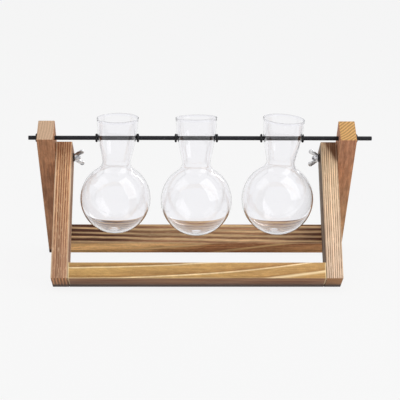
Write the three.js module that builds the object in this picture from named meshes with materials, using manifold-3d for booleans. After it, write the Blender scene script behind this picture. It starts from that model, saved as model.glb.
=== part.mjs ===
// Bulb vase stand: a folding A-frame of torched battens with clear glass bulb vases hung on a rod.
// Millimetres, +Z up. The origin is on the floor under the middle of the rod.
// +X runs along the rod to the viewer's right, and the front frame stands on the -Y side.
// The rod lies a little off centre, so the wooden frames are centred at FRAME_SHIFT.

import * as THREE from 'three';
import { mergeVertices, toCreasedNormals } from 'three/addons/utils/BufferGeometryUtils.js';
import Module from 'manifold-3d';

// Battens: all six are cut from one stock
const STOCK_THICKNESS = 16.4;
const STOCK_DEPTH = 27.6;
const EDGE_ROUND = 1.2;
const END_BEVEL = 0.8;

// Frames: lengths run along the legs, measured from the pivot
const FRAME_SHIFT = -3.6;
const FRONT_WIDTH = 284.6;
const LEG_BELOW_PIVOT = 134.6;
const FRONT_LEG_ABOVE_PIVOT = 11.5;
const REAR_LEG_ABOVE_PIVOT = 38.8;
const LEG_SPLAY = 34.9;
const LEG_RUNNING_GAP = 0.4;
const FOOT_FLAT = 0.8;

// Dowels that pin each crossbar between its legs
const DOWEL_DIAMETER = 6;
const DOWEL_LENGTH = 30;
const DOWEL_IN_LEG = 11;
const DOWEL_SPACING = 12.5;
const GLUE_GAP = 0.2;

// Pivot hardware
const BOLT_DIAMETER = 4;
const BOLT_HEAD_DIAMETER = 8;
const BOLT_HEAD_RECESS = 0.3;
const BOLT_PAST_NUT = 1.6;
const BOLT_SOCKET = 2.5;
const BOLT_SOCKET_DEPTH = 1.4;
const WASHER_DIAMETER = 9;
const WASHER_THICKNESS = 0.8;
const NUT_HUB_HEIGHT = 4.8;
const NUT_HUB_DIAMETER = 8.4;
const NUT_TOP_DIAMETER = 6.4;
const NUT_HEIGHT = 10;
const NUT_SPAN = 19.6;
const WING_THICKNESS = 2.2;
const WING_LOBE = 2.3;
const LEFT_NUT_TURN = -62;
const RIGHT_NUT_TURN = 74;

// Rod and its rubber rings
const ROD_DIAMETER = 4;
const ROD_LENGTH = 345;
const ROD_ABOVE_PIVOT = 28;
const RING_SECTION = 2.2;

// Blown glass: each vase has its own bulb, neck and lean. The bulbs are spread evenly between the
// front legs, and each X is how far a vase has been slid along the rod from there.
const RIM_DIAMETER = 42;
const WAIST_DIAMETER = 29;
const SHOULDER_ROUND = 7;
const GLASS_WALL = 1.2;
const BOWL_RISE = 0.3;
const LIP_BEAD = 1.15;
const RIM_ABOVE_HOLE = 21.5;
const NECK_HOLE_DIAMETER = 6;
const LEFT_VASE_X = 1.5;
const LEFT_BULB_DIAMETER = 71.2;
const LEFT_NECK_LENGTH = 45.9;
const LEFT_VASE_LEAN = 2.3;
const LEFT_HOLE_OFFSET = 3.05;
const MIDDLE_VASE_X = 0.3;
const MIDDLE_BULB_DIAMETER = 72.1;
const MIDDLE_NECK_LENGTH = 47.2;
const MIDDLE_VASE_LEAN = -0.2;
const MIDDLE_HOLE_OFFSET = 0.45;
const RIGHT_VASE_X = 5.1;
const RIGHT_BULB_DIAMETER = 72.8;
const RIGHT_NECK_LENGTH = 45.5;
const RIGHT_VASE_LEAN = 3.2;
const RIGHT_HOLE_OFFSET = 4.35;

// Clearances
const FIT_GAP = 0.3;
const BORE_CLEARANCE = 0.15;

// Facets
const SIDES = 24;
const VASE_SIDES = 28;
const RING_SIDES = 18;
const RING_STEPS = 6;
const DOWEL_SIDES = 10;
const BULB_STEPS = 5;
const NECK_STEPS = 5;

// Sizes that follow from the ones above
const splay = THREE.MathUtils.degToRad(LEG_SPLAY);
const pivotHeight = LEG_BELOW_PIVOT * Math.cos(splay) + STOCK_DEPTH / 2 * Math.sin(splay) - FOOT_FLAT;
const frontInside = FRONT_WIDTH - 2 * STOCK_THICKNESS;
const rearInside = FRONT_WIDTH + 2 * LEG_RUNNING_GAP;
const rearWidth = rearInside + 2 * STOCK_THICKNESS;
const rodY = -ROD_ABOVE_PIVOT * Math.sin(splay);
const rodZ = pivotHeight + ROD_ABOVE_PIVOT * Math.cos(splay);
const ringOuter = ROD_DIAMETER / 2 + BORE_CLEARANCE + RING_SECTION;
const vaseDrop = NECK_HOLE_DIAMETER / 2 - ROD_DIAMETER / 2 - FIT_GAP;

const torchedPine = new THREE.MeshStandardMaterial({ color: 0x9c6b40, roughness: 0.75 });
const beech = new THREE.MeshStandardMaterial({ color: 0xcfa878, roughness: 0.7 });
const zinc = new THREE.MeshStandardMaterial({ color: 0xb9bcc0, roughness: 0.35, metalness: 0.9 });
const darkSteel = new THREE.MeshStandardMaterial({ color: 0x3a3836, roughness: 0.5, metalness: 0.8 });
const blackRod = new THREE.MeshStandardMaterial({ color: 0x161616, roughness: 0.45, metalness: 0.4 });
const rubber = new THREE.MeshStandardMaterial({ color: 0x0d0d0d, roughness: 0.8 });
const glass = new THREE.MeshStandardMaterial({
  color: 0xdde6ea,
  roughness: 0.05,
  transparent: true,
  opacity: 0.35,
});

// Solid helpers
const wasm = await Module();
wasm.setup();

function solidOf(geometry) {
  const bare = geometry.clone();
  bare.deleteAttribute('normal');
  bare.deleteAttribute('uv');
  const welded = mergeVertices(bare, 1e-4);
  const corners = welded.index.array;
  const triVerts = [];
  for (let i = 0; i < corners.length; i += 3) {
    const [a, b, c] = [corners[i], corners[i + 1], corners[i + 2]];
    if (a !== b && b !== c && c !== a) triVerts.push(a, b, c);
  }
  return new wasm.Manifold(new wasm.Mesh({
    numProp: 3,
    vertProperties: Float32Array.from(welded.attributes.position.array),
    triVerts: Uint32Array.from(triVerts),
  }));
}

function geometryOf(solid) {
  const mesh = solid.getMesh();
  const geometry = new THREE.BufferGeometry();
  geometry.setAttribute('position', new THREE.BufferAttribute(mesh.vertProperties, 3));
  geometry.setIndex(new THREE.BufferAttribute(mesh.triVerts, 1));
  return toCreasedNormals(geometry, 0.6);
}

function cut(geometry, tools) {
  return geometryOf(tools.reduce((solid, tool) => solid.subtract(solidOf(tool)), solidOf(geometry)));
}

function join(geometries) {
  return geometryOf(geometries.map(solidOf).reduce((solid, other) => solid.add(other)));
}

function place(parent, name, geometry, material, x = 0, y = 0, z = 0) {
  const mesh = new THREE.Mesh(geometry, material);
  mesh.name = name;
  mesh.position.set(x, y, z);
  parent.add(mesh);
  return mesh;
}

// A cylinder along X from x = from to x = to
function barAlongX(radius, from, to, sides = SIDES) {
  return new THREE.CylinderGeometry(radius, radius, to - from, sides)
    .rotateZ(-Math.PI / 2)
    .translate((from + to) / 2, 0, 0);
}

// A round hole whose flats stay clear of a pin of the given diameter
function boreAlongX(pinDiameter, clearance, from, to, sides = SIDES) {
  const radius = (pinDiameter / 2 + clearance) / Math.cos(Math.PI / sides);
  return barAlongX(radius, from, to, sides);
}

// A turned piece about X: the profile holds [distance along X, radius] pairs
function turnedAboutX(profile, sides = SIDES) {
  const points = profile.map(([along, radius]) => new THREE.Vector2(radius, along));
  return new THREE.LatheGeometry(points, sides).rotateZ(-Math.PI / 2);
}

// A batten standing along Z with eased edges, from z = bottom to z = top
function uprightBatten(bottom, top) {
  const half = { x: STOCK_THICKNESS / 2, y: STOCK_DEPTH / 2 };
  const section = new THREE.Shape();
  const quarter = Math.PI / 2;
  section.absarc(half.x - EDGE_ROUND, half.y - EDGE_ROUND, EDGE_ROUND, 0, quarter);
  section.absarc(EDGE_ROUND - half.x, half.y - EDGE_ROUND, EDGE_ROUND, quarter, 2 * quarter);
  section.absarc(EDGE_ROUND - half.x, EDGE_ROUND - half.y, EDGE_ROUND, 2 * quarter, 3 * quarter);
  section.absarc(half.x - EDGE_ROUND, EDGE_ROUND - half.y, EDGE_ROUND, 3 * quarter, 4 * quarter);
  section.closePath();
  return new THREE.ExtrudeGeometry(section, {
    depth: top - bottom - 2 * END_BEVEL,
    curveSegments: 1,
    bevelThickness: END_BEVEL,
    bevelSize: END_BEVEL,
    bevelOffset: -END_BEVEL,
    bevelSegments: 1,
  }).translate(0, 0, bottom + END_BEVEL);
}

// Everything under the floor, seen from a frame that is turned about its pivot
function underFloor(turn) {
  return new THREE.BoxGeometry(2 * FRONT_WIDTH, 2 * FRONT_WIDTH, STOCK_DEPTH)
    .translate(0, 0, -STOCK_DEPTH / 2 - pivotHeight)
    .rotateX(-turn);
}

// A U-shaped frame: two legs and the crossbar dowelled between their feet.
// extraHoles gives the tools that each leg is cut with, for side -1 (left) or +1 (right).
function makeFrame(label, turn, insideWidth, legAbovePivot, extraHoles) {
  const frame = new THREE.Group();
  frame.name = `${label}_frame`;
  frame.position.set(FRAME_SHIFT, 0, pivotHeight);
  frame.rotation.x = turn;

  const barZ = -LEG_BELOW_PIVOT + STOCK_THICKNESS / 2;
  const barHalf = insideWidth / 2 - GLUE_GAP;
  const dowelInBar = DOWEL_LENGTH - DOWEL_IN_LEG;
  const holeRow = [-DOWEL_SPACING / 2, DOWEL_SPACING / 2];
  const barTools = [underFloor(turn).translate(0, 0, -barZ)];

  for (const side of [-1, 1]) {
    const word = side < 0 ? 'left' : 'right';
    const innerFace = insideWidth / 2;
    const legX = side * (innerFace + STOCK_THICKNESS / 2);
    const legTools = [underFloor(turn), ...extraHoles(side)];

    holeRow.forEach((y, i) => {
      const row = ['front', 'back'][i];
      const depth = DOWEL_IN_LEG + GLUE_GAP;
      const legHole = boreAlongX(DOWEL_DIAMETER, GLUE_GAP, -depth, depth, DOWEL_SIDES);
      legTools.push(legHole.translate(-side * STOCK_THICKNESS / 2, y, barZ));
      const barDepth = dowelInBar + GLUE_GAP;
      const barHole = boreAlongX(DOWEL_DIAMETER, GLUE_GAP, -barDepth, barDepth, DOWEL_SIDES);
      barTools.push(barHole.translate(side * innerFace, y, 0));

      const dowel = turnedAboutX([
        [-DOWEL_IN_LEG, 0],
        [-DOWEL_IN_LEG, DOWEL_DIAMETER / 2 - END_BEVEL],
        [-DOWEL_IN_LEG + END_BEVEL, DOWEL_DIAMETER / 2],
        [dowelInBar - END_BEVEL, DOWEL_DIAMETER / 2],
        [dowelInBar, DOWEL_DIAMETER / 2 - END_BEVEL],
        [dowelInBar, 0],
      ], DOWEL_SIDES);
      const name = `${label}_${word}_${row}_dowel`;
      const mesh = place(frame, name, dowel, beech, side * innerFace, y, barZ);
      mesh.rotation.z = side > 0 ? Math.PI : 0;
    });

    const leg = cut(uprightBatten(-LEG_BELOW_PIVOT, legAbovePivot), legTools);
    place(frame, `${label}_${word}_leg`, leg, torchedPine, legX);
  }

  const bar = uprightBatten(-barHalf, barHalf).rotateY(Math.PI / 2);
  place(frame, `${label}_crossbar`, cut(bar, barTools), torchedPine, 0, 0, barZ);
  return frame;
}

const through = STOCK_THICKNESS;
const headDepth = BOLT_HEAD_RECESS + (BOLT_HEAD_DIAMETER - BOLT_DIAMETER) / 2;

// The countersink opens on the leg's outer face
function countersink(side) {
  const face = -STOCK_THICKNESS / 2;
  const seat = BOLT_DIAMETER / 2 + BORE_CLEARANCE;
  const rim = BOLT_HEAD_DIAMETER / 2 + BORE_CLEARANCE + FIT_GAP;
  const cone = turnedAboutX([
    [face - 1, 0],
    [face - 1, rim],
    [face + BOLT_HEAD_RECESS, rim],
    [face + BOLT_HEAD_RECESS + rim - seat, seat],
    [face + BOLT_HEAD_RECESS + rim - seat, 0],
  ]);
  return side > 0 ? cone.rotateZ(Math.PI) : cone;
}

const frontFrame = makeFrame('front', -splay, frontInside, FRONT_LEG_ABOVE_PIVOT, () => [
  boreAlongX(BOLT_DIAMETER, BORE_CLEARANCE, -through, through),
]);

const rearFrame = makeFrame('rear', splay, rearInside, REAR_LEG_ABOVE_PIVOT, (side) => [
  boreAlongX(BOLT_DIAMETER, BORE_CLEARANCE, -through, through),
  boreAlongX(ROD_DIAMETER, FIT_GAP, -through, through).translate(0, 0, ROD_ABOVE_PIVOT),
  countersink(side),
]);

// Pivot hardware, drawn for the left side with x = 0 on the rear leg's outer face
const washerX = 2 * STOCK_THICKNESS + LEG_RUNNING_GAP + FIT_GAP;
const nutX = washerX + WASHER_THICKNESS + FIT_GAP;
const boltEnd = nutX + NUT_HUB_HEIGHT + BOLT_PAST_NUT;

function makeBolt() {
  const shank = BOLT_DIAMETER / 2;
  const head = BOLT_HEAD_DIAMETER / 2;
  const body = turnedAboutX([
    [BOLT_HEAD_RECESS, 0],
    [BOLT_HEAD_RECESS, head],
    [headDepth, shank],
    [boltEnd - 0.5, shank],
    [boltEnd, shank - 0.5],
    [boltEnd, 0],
  ]);
  const socketRadius = BOLT_SOCKET / Math.sqrt(3);
  const socket = barAlongX(socketRadius, -1, BOLT_HEAD_RECESS + BOLT_SOCKET_DEPTH, 6);
  return cut(body, [socket]);
}

function makeWasher() {
  const inner = (BOLT_DIAMETER / 2 + BORE_CLEARANCE) / Math.cos(Math.PI / SIDES);
  const outer = WASHER_DIAMETER / 2;
  return turnedAboutX([
    [0, inner],
    [0, outer],
    [WASHER_THICKNESS, outer],
    [WASHER_THICKNESS, inner],
    [0, inner],
  ]);
}

function makeWing() {
  const lobeX = NUT_HEIGHT - WING_LOBE;
  const lobeR = NUT_SPAN / 2 - WING_LOBE;
  const outline = new THREE.Shape();
  outline.moveTo(1, 1.6);
  outline.lineTo(1, NUT_HUB_DIAMETER / 2 - 0.5);
  const [from, to] = [0.82 * Math.PI, -0.3 * Math.PI];
  outline.quadraticCurveTo(
    3, NUT_HUB_DIAMETER / 2 + 0.4,
    lobeX + WING_LOBE * Math.cos(from), lobeR + WING_LOBE * Math.sin(from),
  );
  outline.absarc(lobeX, lobeR, WING_LOBE, from, to, true);
  outline.quadraticCurveTo(NUT_HUB_HEIGHT + 0.9, NUT_TOP_DIAMETER / 2, NUT_HUB_HEIGHT - 0.6, 1.6);
  const bevel = WING_THICKNESS / 4;
  return new THREE.ExtrudeGeometry(outline, {
    depth: WING_THICKNESS - 2 * bevel,
    curveSegments: 4,
    bevelThickness: bevel,
    bevelSize: bevel,
    bevelOffset: -bevel,
    bevelSegments: 1,
  }).translate(0, 0, bevel - WING_THICKNESS / 2);
}

function makeWingNut() {
  const base = NUT_HUB_DIAMETER / 2;
  const top = NUT_TOP_DIAMETER / 2;
  const hub = turnedAboutX([
    [0, 0],
    [0, base - 0.4],
    [0.4, base],
    [1.2, base],
    [NUT_HUB_HEIGHT - 0.4, top],
    [NUT_HUB_HEIGHT, top - 0.4],
    [NUT_HUB_HEIGHT, 0],
  ]);
  const blank = join([hub, makeWing(), makeWing().rotateX(Math.PI)]);
  return cut(blank, [boreAlongX(BOLT_DIAMETER, BORE_CLEARANCE, -1, NUT_HEIGHT)]);
}

function makePivot(word, side, nutTurn) {
  const pivot = new THREE.Group();
  pivot.name = `${word}_pivot`;
  pivot.position.set(FRAME_SHIFT + side * rearWidth / 2, 0, pivotHeight);
  pivot.rotation.z = side > 0 ? Math.PI : 0;
  place(pivot, `${word}_pivot_bolt`, makeBolt(), zinc);
  place(pivot, `${word}_nut_washer`, makeWasher(), darkSteel, washerX);
  const nut = place(pivot, `${word}_wing_nut`, makeWingNut(), zinc, nutX);
  nut.rotation.x = THREE.MathUtils.degToRad(nutTurn);
  return pivot;
}

// Rod with a rubber ring outside each rear leg
const rodGroup = new THREE.Group();
rodGroup.name = 'rod_set';
rodGroup.position.set(0, rodY, rodZ);

place(rodGroup, 'hanging_rod', turnedAboutX([
  [-ROD_LENGTH / 2, 0],
  [-ROD_LENGTH / 2, ROD_DIAMETER / 2 - 0.4],
  [-ROD_LENGTH / 2 + 0.4, ROD_DIAMETER / 2],
  [ROD_LENGTH / 2 - 0.4, ROD_DIAMETER / 2],
  [ROD_LENGTH / 2, ROD_DIAMETER / 2 - 0.4],
  [ROD_LENGTH / 2, 0],
]), blackRod);

function placeRing(name, x) {
  const ring = new THREE.TorusGeometry(ringOuter - RING_SECTION / 2, RING_SECTION / 2, RING_STEPS, RING_SIDES);
  place(rodGroup, name, ring.rotateY(Math.PI / 2), rubber, x);
}

const endRing = rearWidth / 2 + FIT_GAP + RING_SECTION / 2;
placeRing('left_end_ring', FRAME_SHIFT - endRing);
placeRing('right_end_ring', FRAME_SHIFT + endRing);

// Vase profile about its own axis, with height 0 at the neck holes: a closed loop that runs
// up the outside from the bottom of the bulb, over the lip and back down the inside.
function vaseProfile(bulbDiameter, neckLength) {
  const bulb = bulbDiameter / 2;
  const waist = WAIST_DIAMETER / 2;
  const shoulderR = waist + SHOULDER_ROUND;
  const shoulderZ = Math.sqrt((bulb + SHOULDER_ROUND) ** 2 - shoulderR ** 2);
  const waistHeight = RIM_ABOVE_HOLE - neckLength;
  const bulbHeight = waistHeight - shoulderZ;
  const lipRadius = RIM_DIAMETER / 2 - LIP_BEAD;
  const lipHeight = RIM_ABOVE_HOLE - LIP_BEAD;
  const flare = neckLength - LIP_BEAD;

  // One side of the wall: rise lifts the bowl inside, which thickens the base
  function wall(inset, rise) {
    const drop = shoulderZ - rise;
    const bowlRadius = Math.hypot(shoulderR, drop) - SHOULDER_ROUND - inset;
    const meeting = Math.atan2(drop, shoulderR);
    const bowl = new THREE.Path();
    bowl.absarc(0, bulbHeight + rise, bowlRadius, -Math.PI / 2, meeting, false);
    const shoulder = new THREE.Path();
    shoulder.absarc(shoulderR, waistHeight, SHOULDER_ROUND + inset, meeting - Math.PI, -Math.PI, true);
    const neck = new THREE.Path();
    neck.moveTo(waist - inset, waistHeight);
    neck.bezierCurveTo(
      waist - inset + 0.3, waistHeight + 0.17 * flare,
      lipRadius - inset - 0.4, waistHeight + 0.42 * flare,
      lipRadius + GLASS_WALL / 2 - inset, lipHeight,
    );
    return [
      ...bowl.getPoints(BULB_STEPS),
      ...shoulder.getPoints(2).slice(1, -1),
      ...neck.getPoints(NECK_STEPS).slice(0, -1),
    ];
  }

  const lip = new THREE.Path();
  lip.absarc(lipRadius, lipHeight, LIP_BEAD, -0.25 * Math.PI, 1.25 * Math.PI, false);
  const outside = wall(0, 0);
  const inside = wall(GLASS_WALL, BOWL_RISE).reverse();
  const loop = [...outside, ...lip.getPoints(3), ...inside];
  loop[0].x = 0;
  loop[loop.length - 1].x = 0;
  return { loop, outside };
}

// Height of a turned solid's centre of mass, from its profile loop
function balanceHeight(loop) {
  let volume = 0;
  let moment = 0;
  loop.forEach((p, i) => {
    const q = loop[(i + 1) % loop.length];
    const rise = q.y - p.y;
    volume += rise * (p.x ** 2 + p.x * q.x + q.x ** 2) / 3;
    const lower = p.y * (3 * p.x ** 2 + 2 * p.x * q.x + q.x ** 2);
    const upper = q.y * (p.x ** 2 + 2 * p.x * q.x + 3 * q.x ** 2);
    moment += rise * (lower + upper) / 12;
  });
  return moment / volume;
}

function radiusAt(points, height) {
  const i = points.findIndex((p, k) => k > points.length / 2 && p.y > height);
  const [p, q] = [points[i - 1], points[i]];
  return p.x + (q.x - p.x) * (height - p.y) / (q.y - p.y);
}

// A vase on the rod between its two rings. The neck holes are drilled holeOffset behind the
// vase's axis, so it hangs with its mouth tipped forward and its weight under the rod.
function placeVase(word, x, bulbDiameter, neckLength, leanDegrees, holeOffset) {
  const lean = THREE.MathUtils.degToRad(leanDegrees);
  const { loop, outside } = vaseProfile(bulbDiameter, neckLength);
  const tip = Math.atan2(holeOffset, -balanceHeight(loop));
  const vase = new THREE.LatheGeometry(loop, VASE_SIDES)
    .rotateX(Math.PI / 2)
    .translate(0, -holeOffset, 0)
    .rotateX(tip)
    .rotateY(lean);
  const hole = barAlongX(NECK_HOLE_DIAMETER / 2, -RIM_DIAMETER, RIM_DIAMETER);
  place(rodGroup, `${word}_vase`, cut(vase, [hole]), glass, x, 0, -vaseDrop);

  const neck = radiusAt(outside, ringOuter) + ringOuter * Math.abs(Math.sin(lean));
  const ringX = neck + FIT_GAP + RING_SECTION / 2;
  placeRing(`${word}_vase_left_ring`, x - ringX);
  placeRing(`${word}_vase_right_ring`, x + ringX);
}

// Even places for the bulbs, with the same gap beside each
const bulbRoom = LEFT_BULB_DIAMETER + MIDDLE_BULB_DIAMETER + RIGHT_BULB_DIAMETER;
const bulbGap = (frontInside - bulbRoom) / 4;
const leftPlace = FRAME_SHIFT - frontInside / 2 + bulbGap + LEFT_BULB_DIAMETER / 2;
const middlePlace = leftPlace + LEFT_BULB_DIAMETER / 2 + bulbGap + MIDDLE_BULB_DIAMETER / 2;
const rightPlace = middlePlace + MIDDLE_BULB_DIAMETER / 2 + bulbGap + RIGHT_BULB_DIAMETER / 2;

placeVase('left', leftPlace + LEFT_VASE_X, LEFT_BULB_DIAMETER, LEFT_NECK_LENGTH, LEFT_VASE_LEAN,
  LEFT_HOLE_OFFSET);
placeVase('middle', middlePlace + MIDDLE_VASE_X, MIDDLE_BULB_DIAMETER, MIDDLE_NECK_LENGTH,
  MIDDLE_VASE_LEAN, MIDDLE_HOLE_OFFSET);
placeVase('right', rightPlace + RIGHT_VASE_X, RIGHT_BULB_DIAMETER, RIGHT_NECK_LENGTH, RIGHT_VASE_LEAN,
  RIGHT_HOLE_OFFSET);

const stand = new THREE.Group();
stand.name = 'bulb_vase_stand';
stand.add(frontFrame);
stand.add(rearFrame);
stand.add(makePivot('left', -1, LEFT_NUT_TURN));
stand.add(makePivot('right', 1, RIGHT_NUT_TURN));
stand.add(rodGroup);

export default stand;
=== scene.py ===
# %% [markdown]
# # A stand of bulb vases
# The object is a small folding A-frame of torched pine battens. A black rod passes through the
# tops of the rear legs and through the drilled necks of clear blown bulbs, which hang from it.
# The pieces below keep to the sizes and places of the imported model, so the first step is to load it.
# The stand's sizes are in millimetres; camera, floor and lamps in metres.

# %% Load the imported model
import math

import bmesh
import bpy
from mathutils import Matrix, Vector, noise


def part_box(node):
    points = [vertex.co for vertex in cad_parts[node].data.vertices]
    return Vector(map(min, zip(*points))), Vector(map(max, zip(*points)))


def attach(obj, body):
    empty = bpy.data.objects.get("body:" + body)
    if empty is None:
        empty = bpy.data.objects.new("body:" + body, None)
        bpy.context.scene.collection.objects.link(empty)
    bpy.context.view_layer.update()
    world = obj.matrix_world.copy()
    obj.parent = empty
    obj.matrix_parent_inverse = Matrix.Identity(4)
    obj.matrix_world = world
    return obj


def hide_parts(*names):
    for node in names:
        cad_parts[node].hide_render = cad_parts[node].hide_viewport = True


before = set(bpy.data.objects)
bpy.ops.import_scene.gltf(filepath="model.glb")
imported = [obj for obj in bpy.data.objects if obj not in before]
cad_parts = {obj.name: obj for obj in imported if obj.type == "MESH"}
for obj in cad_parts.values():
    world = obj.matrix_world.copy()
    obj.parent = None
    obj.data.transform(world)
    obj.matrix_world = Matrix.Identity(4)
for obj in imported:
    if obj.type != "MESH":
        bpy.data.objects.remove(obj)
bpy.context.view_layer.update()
MM = 0.001
scene = bpy.context.scene

# %% [markdown]
# ## Where the battens lie
# Each wooden frame is turned about the pivot bolts by the same angle, one forwards and one back.
# A piece could be drawn where it stands, but slanted corners are hard to write and to read. So it
# is made upright, in plain sizes, and a matrix for each frame lays it in place. The vertices
# themselves are moved, so every object keeps its origin at the part's origin.

# %% The two turned frames
SPLAY = math.radians(34.9)
FRAME_X = -3.6
PIVOT_Z = 117.488
ROD_Y = -16.02
ROD_Z = 140.452
STOCK_WIDE = 16.4
STOCK_DEEP = 27.6
LEG_BELOW = 134.6


def frame_matrix(turn):
    return Matrix.Translation((FRAME_X, 0, PIVOT_Z)) @ Matrix.Rotation(turn, 4, "X")


FRONT = frame_matrix(-SPLAY)
REAR = frame_matrix(SPLAY)
ROD = Matrix.Translation((0, ROD_Y, ROD_Z))
print("rod at", tuple(round(v, 2) for v in ROD.translation))

# %% [markdown]
# ## The camera
# The photograph looks down on the stand a little through a long lens. The lens, distance and
# angles come from lining up the leg corners and the rod's ends with the picture, taken as 400 by
# 400. A tracking constraint would be shorter, but it can't hold the small roll, so the camera's
# three axes are written straight into its matrix.

# %% Camera
LENS = 111.71
SENSOR = 36
FAR_CLIP = 50
DISTANCE = 1.2776
RAISE = math.radians(12.476)
YAW = math.radians(-1.038)
ROLL = math.radians(0.299)
AIM = Vector((0.0002, 0, 0.07318))

flat_back = Vector((math.sin(YAW), -math.cos(YAW), 0)) * math.cos(RAISE)
back = flat_back + Vector((0, 0, math.sin(RAISE)))
right = (-back).cross(Vector((0, 0, 1))).normalized()
up = right.cross(-back)
side = right * math.cos(ROLL) + up * math.sin(ROLL)
top = up * math.cos(ROLL) - right * math.sin(ROLL)

camera = bpy.data.objects.new("camera", bpy.data.cameras.new("camera"))
scene.collection.objects.link(camera)
camera.data.lens = LENS
camera.data.sensor_width = SENSOR
camera.data.clip_end = FAR_CLIP
camera_axes = Matrix((side, top, back)).transposed().to_4x4()
camera.matrix_world = Matrix.Translation(AIM + back * DISTANCE) @ camera_axes
scene.camera = camera
print("camera at", tuple(round(v, 3) for v in camera.location))

# %% [markdown]
# ## Node helpers
# Every finish below is a web of shader nodes. The web could be drawn by hand in the node editor,
# but in a script it stays exact and easy to change. The first helpers make an empty material, add
# a node, and feed its sockets with plain values or with the outputs of other nodes.

# %% Add a node and feed its sockets


def new_material(name):
    material = bpy.data.materials.new(name)
    material.use_nodes = True
    tree = material.node_tree
    tree.nodes.clear()
    return material, tree


def socket_of(node, key):
    """i3 is the input with index 3; any other key is an input's name, with _ for a space."""
    if key[0] == "i" and key[1:].isdigit():
        return node.inputs[int(key[1:])]
    return node.inputs[key.replace("_", " ")]


def feed(tree, socket, value):
    """Links the output of another node, or writes a plain value."""
    if isinstance(value, bpy.types.NodeSocket):
        tree.links.new(value, socket)
    else:
        socket.default_value = value


def add(tree, kind, settings=None, **inputs):
    node = tree.nodes.new(kind)
    for key, value in (settings or {}).items():
        setattr(node, key, value)
    for key, value in inputs.items():
        feed(tree, socket_of(node, key), value)
    return node


print("helpers ready: add, feed")

# %% [markdown]
# Most patterns are built from a few small steps with numbers: a sum or product, and a soft step
# from one value to another. The soft step does most of the work, because it turns the grey cloud
# of a noise texture into a pattern with clear places and soft borders.

# %% Steps with numbers


def math_node(tree, operation, a, b=0.0, clamp=False):
    settings = {"operation": operation, "use_clamp": clamp}
    return add(tree, "ShaderNodeMath", settings, i0=a, i1=b).outputs[0]


def times(tree, a, b):
    return math_node(tree, "MULTIPLY", a, b)


def plus(tree, a, b):
    return math_node(tree, "ADD", a, b)


def smooth(tree, value, low, high, to_low=0.0, to_high=1.0):
    """A soft step: to_low where the value is at low, to_high where it is at high."""
    settings = {"interpolation_type": "SMOOTHSTEP"}
    limits = dict(i1=low, i2=high, i3=to_low, i4=to_high)
    return add(tree, "ShaderNodeMapRange", settings, i0=value, **limits).outputs[0]


print("helpers ready: times, plus, smooth")

# %% [markdown]
# The last helpers work with colours: they mix two colours, tint one with another, turn a number
# into a colour with a ramp, and close a web with its outer skin. On the skin, a value that is the
# same all over sits on the shader's own socket, where an export can find it. A Mix node has a set
# of sockets for each kind of data; the numbers below are those of its colours.

# %% Steps with colours
MIX_A, MIX_B, MIX_RESULT = 6, 7, 2


def opaque(colour):
    return colour if isinstance(colour, bpy.types.NodeSocket) else (*colour, 1.0)


def mix_colour(tree, factor, a, b, blend="MIX"):
    node = add(tree, "ShaderNodeMix", {"data_type": "RGBA", "blend_type": blend}, i0=factor)
    feed(tree, node.inputs[MIX_A], opaque(a))
    feed(tree, node.inputs[MIX_B], opaque(b))
    return node.outputs[MIX_RESULT]


def tinted(tree, colour, tint):
    return mix_colour(tree, 1.0, colour, tint, "MULTIPLY")


def ramp(tree, value, stops):
    node = add(tree, "ShaderNodeValToRGB", Fac=value)
    band = node.color_ramp
    while len(band.elements) < len(stops):
        band.elements.new(0.5)
    for element, (position, colour) in zip(band.elements, stops):
        element.position = position
        element.color = opaque(colour)
    return node.outputs[0]


def outer_skin(tree, colour, gloss, relief=None, **fixed):
    """Closes a web. relief is a height, a strength and a depth in metres, for the bump."""
    skin = add(tree, "ShaderNodeBsdfPrincipled", Base_Color=colour, Roughness=gloss, **fixed)
    if relief:
        height, strength, depth = relief
        bump = add(tree, "ShaderNodeBump", Height=height, Strength=strength, Distance=depth)
        feed(tree, skin.inputs["Normal"], bump.outputs[0])
    add(tree, "ShaderNodeOutputMaterial", Surface=skin.outputs[0])


print("helpers ready: mix_colour, tinted, ramp, outer_skin")

# %% [markdown]
# ## Floor, backdrop and light
# The stand is shown on a pale seamless sheet. A plain diffuse sheet would turn grey away from the
# lamps, and stronger lamps would bleach the wood. So rays that come straight from the camera, from
# a mirror or through glass also see the sheet glow, which lifts it to an even pale grey but leaves
# the soft shadow in place.
#
# Clear glass only shows its outline where its edge picks up something darker than the sheet. For
# mirrored and bent rays alone, the sheet therefore has a darker patch to the left and to the right,
# a little behind the stand. The camera itself never sees them.

# %% Pale floor
PALE = (0.942, 0.942, 0.942)
SHEET_GREY = (0.80, 0.80, 0.80)
GLOW_SHARE = 0.94
PATCH_SHADE = (0.52, 0.51, 0.52)
PATCH_INNER = (0.22, 0.60)
PATCH_FRONT = (0.0, 0.10)
PATCH_BACK = (0.46, 0.36)
FLOOR_REACH = 9.0


def seen_rays(tree):
    """All ray kinds, and a number that is 1 for the rays that show the floor or the sky."""
    rays = tree.nodes.new("ShaderNodeLightPath").outputs
    some = math_node(tree, "MAXIMUM", rays["Is Camera Ray"], rays["Is Glossy Ray"])
    return rays, math_node(tree, "MAXIMUM", some, rays["Is Transmission Ray"])


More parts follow.
